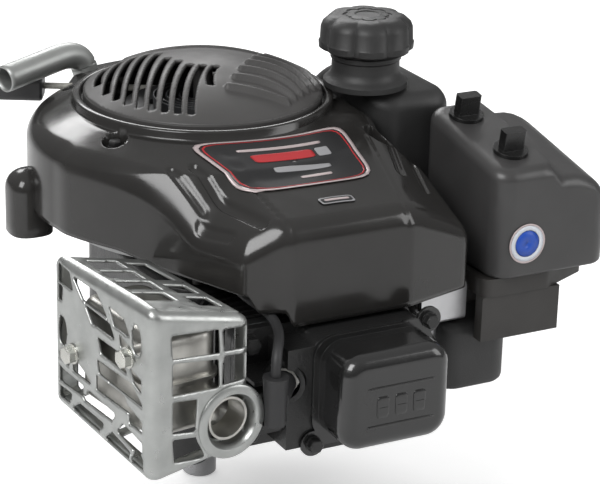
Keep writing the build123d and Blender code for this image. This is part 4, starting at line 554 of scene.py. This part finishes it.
def cut_sheet(name, width, height, holes, place, cell, slot, thickness, bow=1.0, reach=1e3, sharp=50):
    """Sheet with openings: a fine grid whose points are drawn onto the opening edges. Place gives the
    point in the row frame, bow rounds and widens the openings, and reach is a round sheet's radius."""
    columns, rows = int(width / cell) + 1, int(height / cell) + 1
    s, h = np.meshgrid(np.linspace(0, width, columns), np.linspace(0, height, rows))

    def gap(x, y):
        distance = reach - np.hypot(x - width / 2, y - height / 2)
        for hole in holes:
            distance = np.minimum(distance, outline_distance(x, y, hole) - bow)
        return distance

    away = gap(s, h)
    step = 0.05
    slope_s = (gap(s + step, h) - away) / step
    slope_h = (gap(s, h + step) - away) / step
    inner = (s > 0) & (s < width) & (h > 0) & (h < height)
    # over half of a cell's diagonal, so that no cell is left astride an edge
    close = (np.abs(away) < 0.75 * cell) & inner
    s = np.where(close, s - away * slope_s, s)
    h = np.where(close, h - away * slope_h, h)
    kept = gap((s[1:, 1:] + s[:-1, :-1]) / 2, (h[1:, 1:] + h[:-1, :-1]) / 2) > 0.02
    used, faces, sheet = {}, [], []
    for row in range(rows - 1):
        for column in range(columns - 1):
            if kept[row, column]:
                ring = [(row, column), (row, column + 1), (row + 1, column + 1), (row + 1, column)]
                for corner in ring:
                    if corner not in used:
                        used[corner] = len(sheet)
                        sheet.append(place(float(s[corner]), float(h[corner])))
                faces.append(tuple(used[corner] for corner in ring))
    return thicken(add_piece(name, sheet, faces, slot, sharp=sharp), thickness)


quarter = math.pi / 2 * guard_round
side_run = guard_length - guard_round
front_run = guard_width - 2 * guard_round
wall_start = guard_return + quarter - guard_round


def guard_wall(s, h):
    """Wrap of the wall: s runs from the back left corner along the side and round the front, h up."""
    s -= wall_start
    corner_start = guard_round - quarter
    if s < corner_start:
        u, v, out = guard_round + corner_start - s, guard_length, (0.0, 1.0)
    elif s < guard_round:
        turn = (guard_round - s) / guard_round
        u, v = guard_round * (1 - math.cos(turn)), guard_length - guard_round * (1 - math.sin(turn))
        out = (-math.cos(turn), math.sin(turn))
    elif s < side_run:
        u, v, out = 0.0, guard_length - s, (-1.0, 0.0)
    elif s < side_run + quarter:
        turn = (s - side_run) / guard_round
        u, v = guard_round * (1 - math.cos(turn)), guard_round * (1 - math.sin(turn))
        out = (-math.cos(turn), -math.sin(turn))
    elif s < side_run + quarter + front_run:
        u, v, out = guard_round + s - side_run - quarter, 0.0, (0.0, -1.0)
    else:
        turn = min((s - side_run - quarter - front_run) / guard_round, math.pi / 2)
        past_corner = max(s - side_run - 2 * quarter - front_run, 0)
        u = guard_width - guard_round + guard_round * math.sin(turn)
        v = guard_round * (1 - math.cos(turn)) + past_corner
        out = (math.sin(turn), -math.cos(turn))
    high = guard_top(u, v)
    z = guard_low(u, v) + h
    inward = 0.0
    if z > high - guard_bend:
        lean = min((z - high + guard_bend) / guard_bend, math.pi / 2)
        z = high - guard_bend + guard_bend * math.sin(lean)
        inward = guard_bend * (1 - math.cos(lean))
    elif h < guard_lip:
        inward = guard_lip * (1 - math.cos(math.asin(min((guard_lip - h) / guard_lip, 1.0))))
    return guard_place(u - out[0] * inward, v - out[1] * inward, z)


# openings of the left side as (v, z), then of the front as (u, z)
side_windows = [
    [(110, 142), (103, 146), (88, 144), (85, 136), (109, 137)],
    [(110, 134), (96, 133), (97, 126), (109, 126)],
    [(82, 143), (58, 142), (48, 132), (73, 134)], [(69, 130), (44, 128), (40, 122), (63, 123)],
    [(56, 115), (32, 114), (27, 106), (53, 108)], [(57, 101), (21, 100), (11, 92), (55, 95)],
    [(58, 91), (29, 90), (24, 83), (58, 84)], [(44, 138), (29, 136), (24, 129), (39, 130)],
    [(33, 125), (23, 121), (19, 117), (32, 120)], [(22, 109), (12, 106), (12, 100), (19, 103)],
    [(23, 85), (11, 81), (11, 76), (23, 77)], [(35, 66), (29, 72), (11, 68), (11, 64), (19, 62)],
    [(108, 82), (99, 82), (98, 75), (108, 75)], [(96, 81), (74, 79), (74, 74), (96, 74)],
    [(108, 70), (87, 69), (90, 64), (108, 65)], [(85, 93), (74, 89), (66, 85), (84, 86)],
    [(101, 89), (94, 95), (89, 94), (90, 87)], [(72, 72), (66, 78), (40, 75), (43, 71)],
    [(84, 61), (76, 66), (52, 64), (57, 59)], [(48, 56), (41, 62), (24, 58), (25, 54)],
    [(21, 54), (14, 63), (10, 59), (10, 54)], ellipse(96, 106, 4, 8), ellipse(16, 129, 4, 8),
]
front_windows = [
    [(14, 133), (43, 130), (44, 118), (15, 121)], [(48, 129), (63, 128), (64, 117), (49, 118)],
    [(15, 116), (43, 112), (44, 97), (15, 99)], [(49, 113), (64, 111), (64, 98), (48, 98)],
    [(15, 93), (29, 91), (28, 74), (15, 76)], [(15, 70), (29, 68), (34, 56), (16, 58)],
    ellipse(outlet_u, outlet_z, outlet_rim - 5, outlet_rim - 5, 32),
]
window_near, window_far = 9.5, 100.5  # side windows stop short of the bent corners
front_start = wall_start + side_run + quarter - guard_round
wall_holes = []
for window in side_windows:
    wall_holes.append([(wall_start + guard_length - min(max(v, window_near), window_far), z - guard_low(0, v))
                       for v, z in window])
for window in front_windows:
    wall_holes.append([(front_start + u, z - guard_low(u, 0)) for u, z in window])
wall_run = wall_start + side_run + 2 * quarter + front_run + 8
wall_height = 106.0
wall = cut_sheet("guard_wall", wall_run, wall_height, wall_holes, guard_wall, guard_cell, "guard_steel",
                 guard_sheet, bow=1.3)

lid_edge = 5.5
top_holes = [
    [(17, 95), (36, 96), (35, 84), (15, 82)],
    [(14, 76), (35, 77), (34, 64), (13, 63)],
    [(13, 57), (34, 58), (33, 44), (11, 43)],
    [(11, 36), (30, 37), (30, 24), (10, 23)],
    [(42, 30), (54, 30), (54, 16), (42, 16)],
    [(42, 52), (54, 52), (54, 38), (42, 38)],
    [(42, 92), (54, 92), (54, 62), (42, 62)],
]


def guard_lid(u, v):
    u, v = u + lid_edge, v + lid_edge
    return guard_place(u, v, guard_top(u, v) + 0.05)


lid_holes = [[(u - lid_edge, v - lid_edge) for u, v in hole] for hole in top_holes]
cut_sheet("guard_lid", guard_width - 2 * lid_edge, guard_length - 2 * lid_edge, lid_holes, guard_lid,
          guard_cell, "guard_steel", guard_sheet)

floor_edge = 4.0
floor_holes = [[(8, 8), (50, 8), (50, 44), (8, 44)], [(8, 52), (50, 52), (50, 92), (8, 92)]]


def guard_floor(u, v):
    u, v = u + floor_edge, v + floor_edge
    return guard_place(u, v, guard_low(u, v) + guard_sheet)


cut_sheet("guard_floor", guard_width - 2 * floor_edge, guard_length - 2 * floor_edge, floor_holes,
          guard_floor, 2 * guard_cell, "guard_steel", guard_sheet)


def along_y(name, profile, centre, slot, steps=48, turn=0.0):
    """Turned piece about an axis along -Y, swung by turn in plan. Profile is (radius, way forward)."""
    turned = []
    for radius, forward in profile:
        for step in range(steps):
            angle = 2 * math.pi * step / steps
            side, depth = radius * math.cos(angle), -forward
            turned.append((centre[0] + side * math.cos(turn) - depth * math.sin(turn),
                           centre[1] + side * math.sin(turn) + depth * math.cos(turn),
                           centre[2] + radius * math.sin(angle)))
    return add_piece(name, turned, grid_faces(len(profile), steps, True), slot)


outlet = guard_place(outlet_u, 0, outlet_z)
ring_profile = [
    (outlet_rim - 6, -3),
    (outlet_rim - 5, 0.2),
    (outlet_rim - 4, 1.4),
    (outlet_rim, 1.6),
    (outlet_rim + 1.2, 0.8),
    (outlet_rim + 1.6, -2.5),
]
cone_profile = [(outlet_rim - 5, -1), (15.5, -9), (14.5, -10)]
along_y("guard_outlet_ring", ring_profile, outlet, "guard_steel", turn=guard_turn)
along_y("guard_outlet_cone", cone_profile, outlet, "guard_steel", turn=guard_turn)
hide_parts("muffler_guard")


# ---- fuel tank ----
def body_form(name, x_range, y_range, low, high, slot, body="engine", corner=16.0, rim=9.0, foot=4.0,
              corner_steps=10, top_steps=14):
    """Moulded box with rounded upright corners and rims; high is a height or a function of x, y."""
    x0, x1 = x_range
    y0, y1 = y_range
    outline = []  # x, y and the outward direction
    for cx, cy, start in ((x1 - corner, y0 + corner, -90), (x1 - corner, y1 - corner, 0),
                          (x0 + corner, y1 - corner, 90), (x0 + corner, y0 + corner, 180)):
        for step in range(corner_steps + 1):
            turn = math.radians(start + 90 * step / corner_steps)
            out_x, out_y = math.cos(turn), math.sin(turn)
            outline.append((cx + corner * out_x, cy + corner * out_y, out_x, out_y))
    dense = []  # the same with its straight sides divided
    for here, there in zip(outline, outline[1:] + outline[:1]):
        parts = max(1, int(math.hypot(there[0] - here[0], there[1] - here[1]) / 6))
        for part in range(parts):
            dense.append(tuple(a + (b - a) * part / parts for a, b in zip(here, there)))
    middle = ((x0 + x1) / 2, (y0 + y1) / 2)
    top_at = high if callable(high) else lambda x, y: high
    form = []

    def ring(inset, height):
        for x, y, out_x, out_y in dense:
            px, py = x - out_x * inset, y - out_y * inset
            form.append((px, py, height(px, py)))

    for step in range(4):
        turn = math.pi / 2 * step / 3
        ring(foot * (1 - math.sin(turn)), lambda x, y: low + foot * (1 - math.cos(turn)))
    for step in range(1, 7):
        ring(0, lambda x, y: low + foot + (top_at(x, y) - rim - low - foot) * step / 6)
    for step in range(1, 9):
        turn = math.pi / 2 * step / 8
        ring(rim * (1 - math.cos(turn)), lambda x, y: top_at(x, y) - rim + rim * math.sin(turn))
    last = form[-len(dense):]
    for step in range(1, top_steps):
        share = step / top_steps
        for px, py, _ in last:
            x, y = px + (middle[0] - px) * share, py + (middle[1] - py) * share
            form.append((x, y, top_at(x, y)))
    form.append((middle[0], middle[1], top_at(*middle)))
    count = len(dense)
    rows = (len(form) - 1) // count
    inner_ring = (rows - 1) * count
    faces = grid_faces(rows, count, True)
    faces += [(inner_ring + k, inner_ring + (k + 1) % count, rows * count) for k in range(count)]
    faces.append(tuple(range(count))[::-1])
    return add_piece(name, form, faces, slot, body, sharp=50)


tank_high = 210.0


def tank_top(x, y):
    """Upper skin of the tank: level round the neck, falling to the front, the back and the side."""
    behind = max(y - 2, 0)
    outside = max(x - 118, 0)
    front = tank_high - 0.35 * max(-26 - y, 0)
    back = tank_high - 0.0095 * behind ** 2 - 0.22 * behind
    side = tank_high - 0.012 * outside ** 2
    corner_fall = 0.004 * (outside * behind) ** 0.9
    return max(min(front, back, side) - corner_fall, 150.0)


tank_main = body_form("tank_shell", (94.5, 152.0), (-56.0, 76.0), 66.0, tank_top, "tank_plastic",
                      corner=17, rim=8)
body_form("tank_nose", (100.0, 150.0), (-138.0, -30.0), 34.0, 78.0, "tank_plastic", corner=14, rim=7)
body_form("tank_lower", (124.0, 151.0), (-40.0, 74.0), 54.0, 80.0, "tank_plastic", corner=10, rim=4)
neck = [
    (26.5, 205.0), (26.5, 208.5), (24.5, 210.5), (22.6, 212.0), (21.6, 216.0), (21.4, 222.0),
    (22.4, 223.0), (22.4, 225.5), (21.4, 226.5), (21.2, 234.0),
    (20.6, 235.6), (19.6, 236.0), (18.8, 235.2), (18.6, 206.0),
]
cap_low, cap_high = (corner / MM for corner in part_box("fuel_cap"))
neck_centre = ((cap_low.x + cap_high.x) / 2, (cap_low.y + cap_high.y) / 2)
lathe("tank_neck", neck, neck_centre, "tank_plastic")
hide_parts("fuel_tank")

# ---- fuel cap ----
cap_top = cap_high.z
cap_reach = (cap_high.x - cap_low.x) / 2
cap_profile = [
    (18.0, cap_top - 22),
    # flange at the foot of the grip
    (cap_reach - 2.0, cap_top - 22.5), (cap_reach - 0.6, cap_top - 21.5),
    (cap_reach - 0.3, cap_top - 17.5), (cap_reach - 1.0, cap_top - 16.5),
    # scalloped grip
    (cap_reach - 1.4, cap_top - 8.0), (cap_reach - 2.6, cap_top - 5.0),
    (cap_reach - 6.5, cap_top - 1.6), (cap_reach - 10.0, cap_top - 0.9),
    # rings on the lid
    (15.6, cap_top - 0.8), (15.2, cap_top - 1.5), (13.8, cap_top - 1.5), (13.4, cap_top - 0.9),
    (8.0, cap_top - 0.5), (7.4, cap_top - 1.1), (0.01, cap_top - 1.1),
]
cap = lathe("fuel_cap_shell", cap_profile, neck_centre, "tank_plastic", body="fuel_cap", steps=128,
            lobes=8, lobe_depth=2.6)
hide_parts("fuel_cap")

# ---- air cleaner ----
cover_low, cover_high = (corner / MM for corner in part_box("air_cleaner_cover"))
cover_slope = math.tan(math.radians(10.5))
cover_front, cover_back = -153.0, -60.0
cover_step_x = 167.0


def cover_top(x, y):
    """Sloping lid: the left half stands higher, and the right lobe is a step lower."""
    left = 179.0 + (y - cover_front) * cover_slope - 0.0035 * max(140 - x, 0) ** 2
    right = left - 9.0 - 0.018 * max(x - 178, 0) ** 2
    share = float(smooth_step(cover_step_x - 1.5, cover_step_x + 3.5, np.array(x)))
    return left * (1 - share) + right * share


cover = body_form("cleaner_shell", (cover_low.x, cover_high.x), (cover_front, cover_back), 110.3,
                  cover_top, "cleaner_plastic", body="air_cleaner_cover", corner=13, rim=7, foot=2.5,
                  corner_steps=12, top_steps=40)
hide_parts("air_cleaner_cover")


def sticker_ring(name, radius, inner, finish):
    """Thin ring, or a disc if inner is near 0, on the front of the air cleaner cover."""
    steps = 48
    disc = []
    for scale in (inner, (inner + 1) / 2, 1.0):
        for step in range(steps):
            turn = 2 * math.pi * step / steps
            disc.append((sticker_x + radius * scale * math.cos(turn), cover_front - 0.45,
                         sticker_z + radius * scale * math.sin(turn)))
    piece = add_piece(name, disc, grid_faces(3, steps, True), "cleaner_plastic", "air_cleaner_cover",
                      material=label_finishes[finish])
    return thicken(piece, label_film)


sticker_x, sticker_z = 146.5, 132.5
sticker_ring("sticker_rim", 12.8, 0.90, "silver")
sticker_ring("sticker_white", 11.6, 0.72, "white")
sticker_ring("sticker_blue", 8.6, 0.02, "blue")


# ---- valve cover band ----
bar_rise = 0.7
bar_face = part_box("valve_cover")[0].y / MM - bar_rise


def raised_bar(name, x0, x1, z0, z1):
    """Low rounded rib on the front of the valve cover."""
    bar = []
    steps = 24
    end_round = 1.2
    # share of the bar's size and how far behind its face each ring lies
    for scale, behind in ((1.0, 1.7), (1.0, 0.5), (0.86, 0.15), (0.6, 0.0), (0.02, 0.0)):
        for step in range(steps):
            turn = 2 * math.pi * (step + 0.5) / steps
            across_x, across_z = math.cos(turn), math.sin(turn)
            half_x = (x1 - x0) / 2 - end_round * (1 - scale)
            half_z = (z1 - z0) / 2 * scale
            bar.append(((x0 + x1) / 2 + math.copysign(abs(across_x) ** 0.35, across_x) * half_x,
                        bar_face + behind,
                        (z0 + z1) / 2 + math.copysign(abs(across_z) ** 0.35, across_z) * half_z))
    return add_piece(name, bar, grid_faces(5, steps, True), "valve_cover_paint", sharp=60)


raised_bar("valve_cover_line_0", 6.0, 50.0, 60.0, 61.8)
raised_bar("valve_cover_line_1", 6.0, 50.0, 84.0, 85.8)
for number in range(3):
    raised_bar(f"valve_cover_rib_{number}", 12.0 + number * 12, 20.0 + number * 12, 66.0, 79.5)


# ---- starter cover: domed disc with long slots on the left and raised ribs on the right ----
dome_radius, dome_edge, dome_rise = 75.0, 205.0, 20.0
dome_sphere = (dome_radius ** 2 + dome_rise ** 2) / (2 * dome_rise)
dome_wall = 2.4
rib_height, rib_half = 2.8, 2.1
plate_height = 2.2  # the disc is thicker behind the slots
slot_along, slot_across = Vector((0.545, 0.839)), Vector((0.839, -0.545))
slot_half, slot_bow = 1.2, 2.0
slot_pitch, first_slot = 8.1, -63.0
slot_reach, short_slot_foot = 66.0, -38.0
slot_tops = (14, 24, 34, 30, 20, 2, -6, -13, -13.5, -13)


def bent_line(start, middle, end, parts=10):
    """Points of a parabola through start, middle and end."""
    line = []
    for part in range(parts + 1):
        t = part / parts
        line.append(tuple(a * (1 - t) * (1 - 2 * t) + b * 4 * t * (1 - t) + c * t * (2 * t - 1)
                          for a, b, c in zip(start, middle, end)))
    return line


def segment_distance(x, y, start, end):
    ex, ey = end[0] - start[0], end[1] - start[1]
    share = min(max(((x - start[0]) * ex + (y - start[1]) * ey) / (ex * ex + ey * ey), 0.0), 1.0)
    return math.hypot(x - start[0] - share * ex, y - start[1] - share * ey)


rib_lines = []
for number in range(7):
    rib_lines.append(bent_line((-3.5 + 9.2 * number, -43.5 + 9.8 * number),
                               (13.0 + 10.2 * number, -52.0 + 10.0 * number),
                               (28.0 + 7.4 * number, -60.0 + 5.6 * number)))


def dome_top(x, y):
    """Height of the disc: a cap of a sphere with the ribs, and a plate raised behind the slots."""
    height = dome_edge + dome_rise - dome_sphere + math.sqrt(max(dome_sphere ** 2 - x * x - y * y, 0))
    for line in rib_lines:
        away = min(segment_distance(x, y, *ends) for ends in zip(line, line[1:]))
        height += rib_height * (1 - float(smooth_step(rib_half - 0.9, rib_half + 0.7, away)))
    plate_line = 38.0 - 0.9 * x if x < 0 else 38.0 - 0.25 * x
    inside_rim = float(smooth_step(74.0, 68.0, math.hypot(x, y)))
    return height + plate_height * float(smooth_step(0.0, 3.0, y - plate_line)) * inside_rim


slot_holes = []
for number, top in enumerate(slot_tops):
    offset = first_slot + slot_pitch * number
    foot = -math.sqrt(slot_reach ** 2 - offset ** 2)
    if number == len(slot_tops) - 1:
        foot = short_slot_foot
    edges = []
    for side in (offset - slot_half, offset + slot_half):
        edge = []
        middle = (side - slot_bow, (foot + top) / 2)
        for sideways, lengthways in bent_line((side, foot), middle, (side, top)):
            place = slot_across * sideways + slot_along * lengthways
            edge.append((place.x + dome_radius, place.y + dome_radius))
        edges.append(edge)
    slot_holes.append(edges[0] + edges[1][::-1])


def dome_place(s, h):
    x, y = s - dome_radius, h - dome_radius
    return x, y, dome_top(x, y)


cover_slot = slot_of["starter_cover"]
dome = cut_sheet("starter_dome", 2 * dome_radius, 2 * dome_radius, slot_holes, dome_place, 1.0,
                 cover_slot, dome_wall, reach=dome_radius - 0.4, sharp=75)
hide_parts("starter_cover")
skirt_profile = [
    (dome_radius - 0.3, 196.0),
    (dome_radius - 0.3, dome_edge - 0.6),
    (dome_radius - 1.4, dome_edge + 0.4),
    (dome_radius - 3.0, dome_edge - 1.0),
    (dome_radius - 3.0, 196.0),
]
lathe("starter_dome_skirt", skirt_profile, (0, 0), cover_slot, steps=160)
lathe("starter_post", [(0.01, 184.0), (6.0, 184.0), (6.0, 222.0)], (0, 0), cover_slot)


# ---- starter cord, tube and valve springs ----
def tube_along(name, path, radius, sides, slot, open_ends=False):
    """Round bar along a path, or the skin of a tube if its ends are open. It rides nothing yet."""
    ring_points = []
    for number, place in enumerate(path):
        ahead = (path[min(number + 1, len(path) - 1)] - path[max(number - 1, 0)]).normalized()
        guide = Vector((0, 0, 1)) if abs(ahead.z) < 0.9 else Vector((0, 1, 0))
        sideways = ahead.cross(guide).normalized()
        upward = sideways.cross(ahead)
        for step in range(sides):
            turn = 2 * math.pi * step / sides
            ring_points.append(place + radius * (sideways * math.cos(turn) + upward * math.sin(turn)))
    faces = [face[::-1] for face in grid_faces(len(path), sides, True)]
    if not open_ends:
        last = (len(path) - 1) * sides
        faces += [tuple(range(sides)), tuple(range(last, last + sides))[::-1]]
    mesh = bpy.data.meshes.new(name)
    mesh.from_pydata([tuple(point * MM) for point in ring_points], [], faces)
    mesh.polygons.foreach_set("use_smooth", [True] * len(mesh.polygons))
    mesh.materials.append(materials[slot])
    bar = bpy.data.objects.new(name, mesh)
    show(bar)
    return bar


tube_start, tube_bend, tube_end = Vector((-104, 74, 202.5)), Vector((-45, 95, 209.5)), Vector((-38, 93, 188))
tube_radius, tube_wall = 8.6, 1.2
bend_from, bend_to = tube_bend.lerp(tube_start, 0.3), tube_bend.lerp(tube_end, 0.5)
tube_path = [tube_start.lerp(bend_from, step / 12) for step in range(12)]
for step in range(12):
    share = step / 12
    tube_path.append(bend_from.lerp(tube_bend, share).lerp(tube_bend.lerp(bend_to, share), share))
tube_path += [bend_to.lerp(tube_end, step / 4) for step in range(5)]
tube = tube_along("rear_tube", tube_path, tube_radius, 40, "tube_steel", open_ends=True)
thicken(tube, tube_wall)
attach(tube, "engine")
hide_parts("rear_guard_tube")

# The cord leaves the pulley at rope_from and runs straight along pull.
rope_radius = 2.1
rope_length, rope_fixed, rope_rings = 105.0, 70.0, 60
pulley_radius, rope_z = 46.0, 190.0
pull = Vector((-0.883, 0.469, 0.0))
rope_from = Vector((pulley_radius * pull.y, -pulley_radius * pull.x, rope_z))
rope_path = [rope_from + pull * rope_length * ring / rope_rings for ring in range(rope_rings + 1)]
cord = tube_along("starter_cord", rope_path, rope_radius, 16, "rope_fibre")
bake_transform(cord)
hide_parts("starter_rope")

# A spring runs from its seat on the head to its retainer, coiled round its valve's stem.
spring_seat, spring_retainer = -171.0, -182.0
spring_wire, spring_radius, spring_turns, spring_steps = 1.1, 8.4, 4, 24
for valve_name in ("intake_valve", "exhaust_valve"):
    valve_low, valve_high = (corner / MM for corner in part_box(valve_name))
    stem_x, stem_z = (valve_low.x + valve_high.x) / 2, (valve_low.z + valve_high.z) / 2
    wire_start = spring_seat - 1.1 * spring_wire
    wire_run = spring_retainer - spring_seat + 2.2 * spring_wire
    coil = []
    for step in range(spring_turns * spring_steps + 1):
        turn = 2 * math.pi * step / spring_steps
        coil.append(Vector((stem_x + spring_radius * math.cos(turn),
                            wire_start + wire_run * step / (spring_turns * spring_steps),
                            stem_z + spring_radius * math.sin(turn))))
    spring = tube_along(valve_name.replace("valve", "spring"), coil, spring_wire, 10, "spring_steel")
    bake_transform(spring)
    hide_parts("valve_springs")


# ---- stage, lights and camera ----
floor_reach = 6.0
floor_z = cad_low.z - 0.001
floor_mesh = bpy.data.meshes.new("floor")
floor_corners = [(-floor_reach, -floor_reach), (floor_reach, -floor_reach), (floor_reach, floor_reach),
                 (-floor_reach, floor_reach)]
floor_mesh.from_pydata([(x, y, floor_z) for x, y in floor_corners], [], [(0, 1, 2, 3)])
floor = bpy.data.objects.new("floor", floor_mesh)
show(floor)
floor_paper = make_material("floor_paper", (0.90, 0.90, 0.90), 0.9, tone=0.01, grain_depth=0.01)
floor_mesh.materials.append(floor_paper)

# a little light of its own, seen by the camera alone, turns the floor white round the shadow
floor_nodes, floor_links = floor_paper.node_tree.nodes, floor_paper.node_tree.links
floor_seen = floor_nodes.new("ShaderNodeLightPath").outputs["Is Camera Ray"]
floor_glow = floor_nodes.new("ShaderNodeMath")
floor_glow.operation = "MULTIPLY"
floor_glow.inputs[1].default_value = 0.42
floor_links.new(floor_seen, floor_glow.inputs[0])
floor_shader = floor_nodes["Principled BSDF"]
floor_shader.inputs["Emission Color"].default_value = (1, 1, 1, 1)
floor_links.new(floor_glow.outputs[0], floor_shader.inputs["Emission Strength"])

# sky that is grey at the horizon and white overhead, for long soft reflections in the black parts
world = bpy.data.worlds.new("studio")
bpy.context.scene.world = world
world.use_nodes = True
world_nodes, world_links = world.node_tree.nodes, world.node_tree.links
background = world_nodes["Background"]
background.inputs["Strength"].default_value = 0.55
sky = world_nodes.new("ShaderNodeValToRGB")
sky_height = world_nodes.new("ShaderNodeSeparateXYZ")
sky_where = world_nodes.new("ShaderNodeTexCoord")
sky.color_ramp.elements[0].position = 0.0
sky.color_ramp.elements[0].color = (0.30, 0.30, 0.30, 1)
sky.color_ramp.elements[1].position = 0.9
sky.color_ramp.elements[1].color = (1.0, 1.0, 1.0, 1)
world_links.new(sky_where.outputs["Generated"], sky_height.inputs[0])
world_links.new(sky_height.outputs["Z"], sky.inputs["Fac"])
world_links.new(sky.outputs["Color"], background.inputs["Color"])
bpy.context.scene.view_settings.view_transform = "Standard"


def area_light(name, place, aim, size, power):
    """Rectangular lamp at place that looks at aim."""
    data = bpy.data.lights.new(name, "AREA")
    data.shape = "RECTANGLE"
    data.size, data.size_y = size
    data.energy = power
    light = bpy.data.objects.new(name, data)
    light.location = place
    light.rotation_mode = "QUATERNION"
    light.rotation_quaternion = (Vector(aim) - Vector(place)).to_track_quat("-Z", "Y")
    show(light)


area_light("key", (-1.2, -0.7, 1.3), (0, 0, 0.1), (0.9, 0.9), 22)
area_light("fill", (1.4, -1.2, 0.9), (0, 0, 0.1), (0.8, 1.2), 10)
area_light("back", (0.3, 1.5, 1.2), (0, 0, 0.15), (1.4, 0.5), 16)

view_azimuth, view_elevation, view_roll = -28.0, 21.0, 1.5
view_distance = 1.5
look_at = Vector((0.0675, -0.0075, 0.0944))
azimuth, elevation = math.radians(view_azimuth), math.radians(view_elevation)
back = Vector((math.sin(azimuth) * math.cos(elevation), -math.cos(azimuth) * math.cos(elevation),
               math.sin(elevation)))
camera_data = bpy.data.cameras.new("camera")
camera_data.lens = 138.0
camera_data.sensor_width = 36.0
camera = bpy.data.objects.new("camera", camera_data)
camera.location = look_at + view_distance * back
camera.rotation_mode = "QUATERNION"
camera.rotation_quaternion = (
    (-back).to_track_quat("-Z", "Y").to_matrix() @ Matrix.Rotation(math.radians(view_roll), 3, "Z")
).to_quaternion()
show(camera)
bpy.context.scene.camera = camera
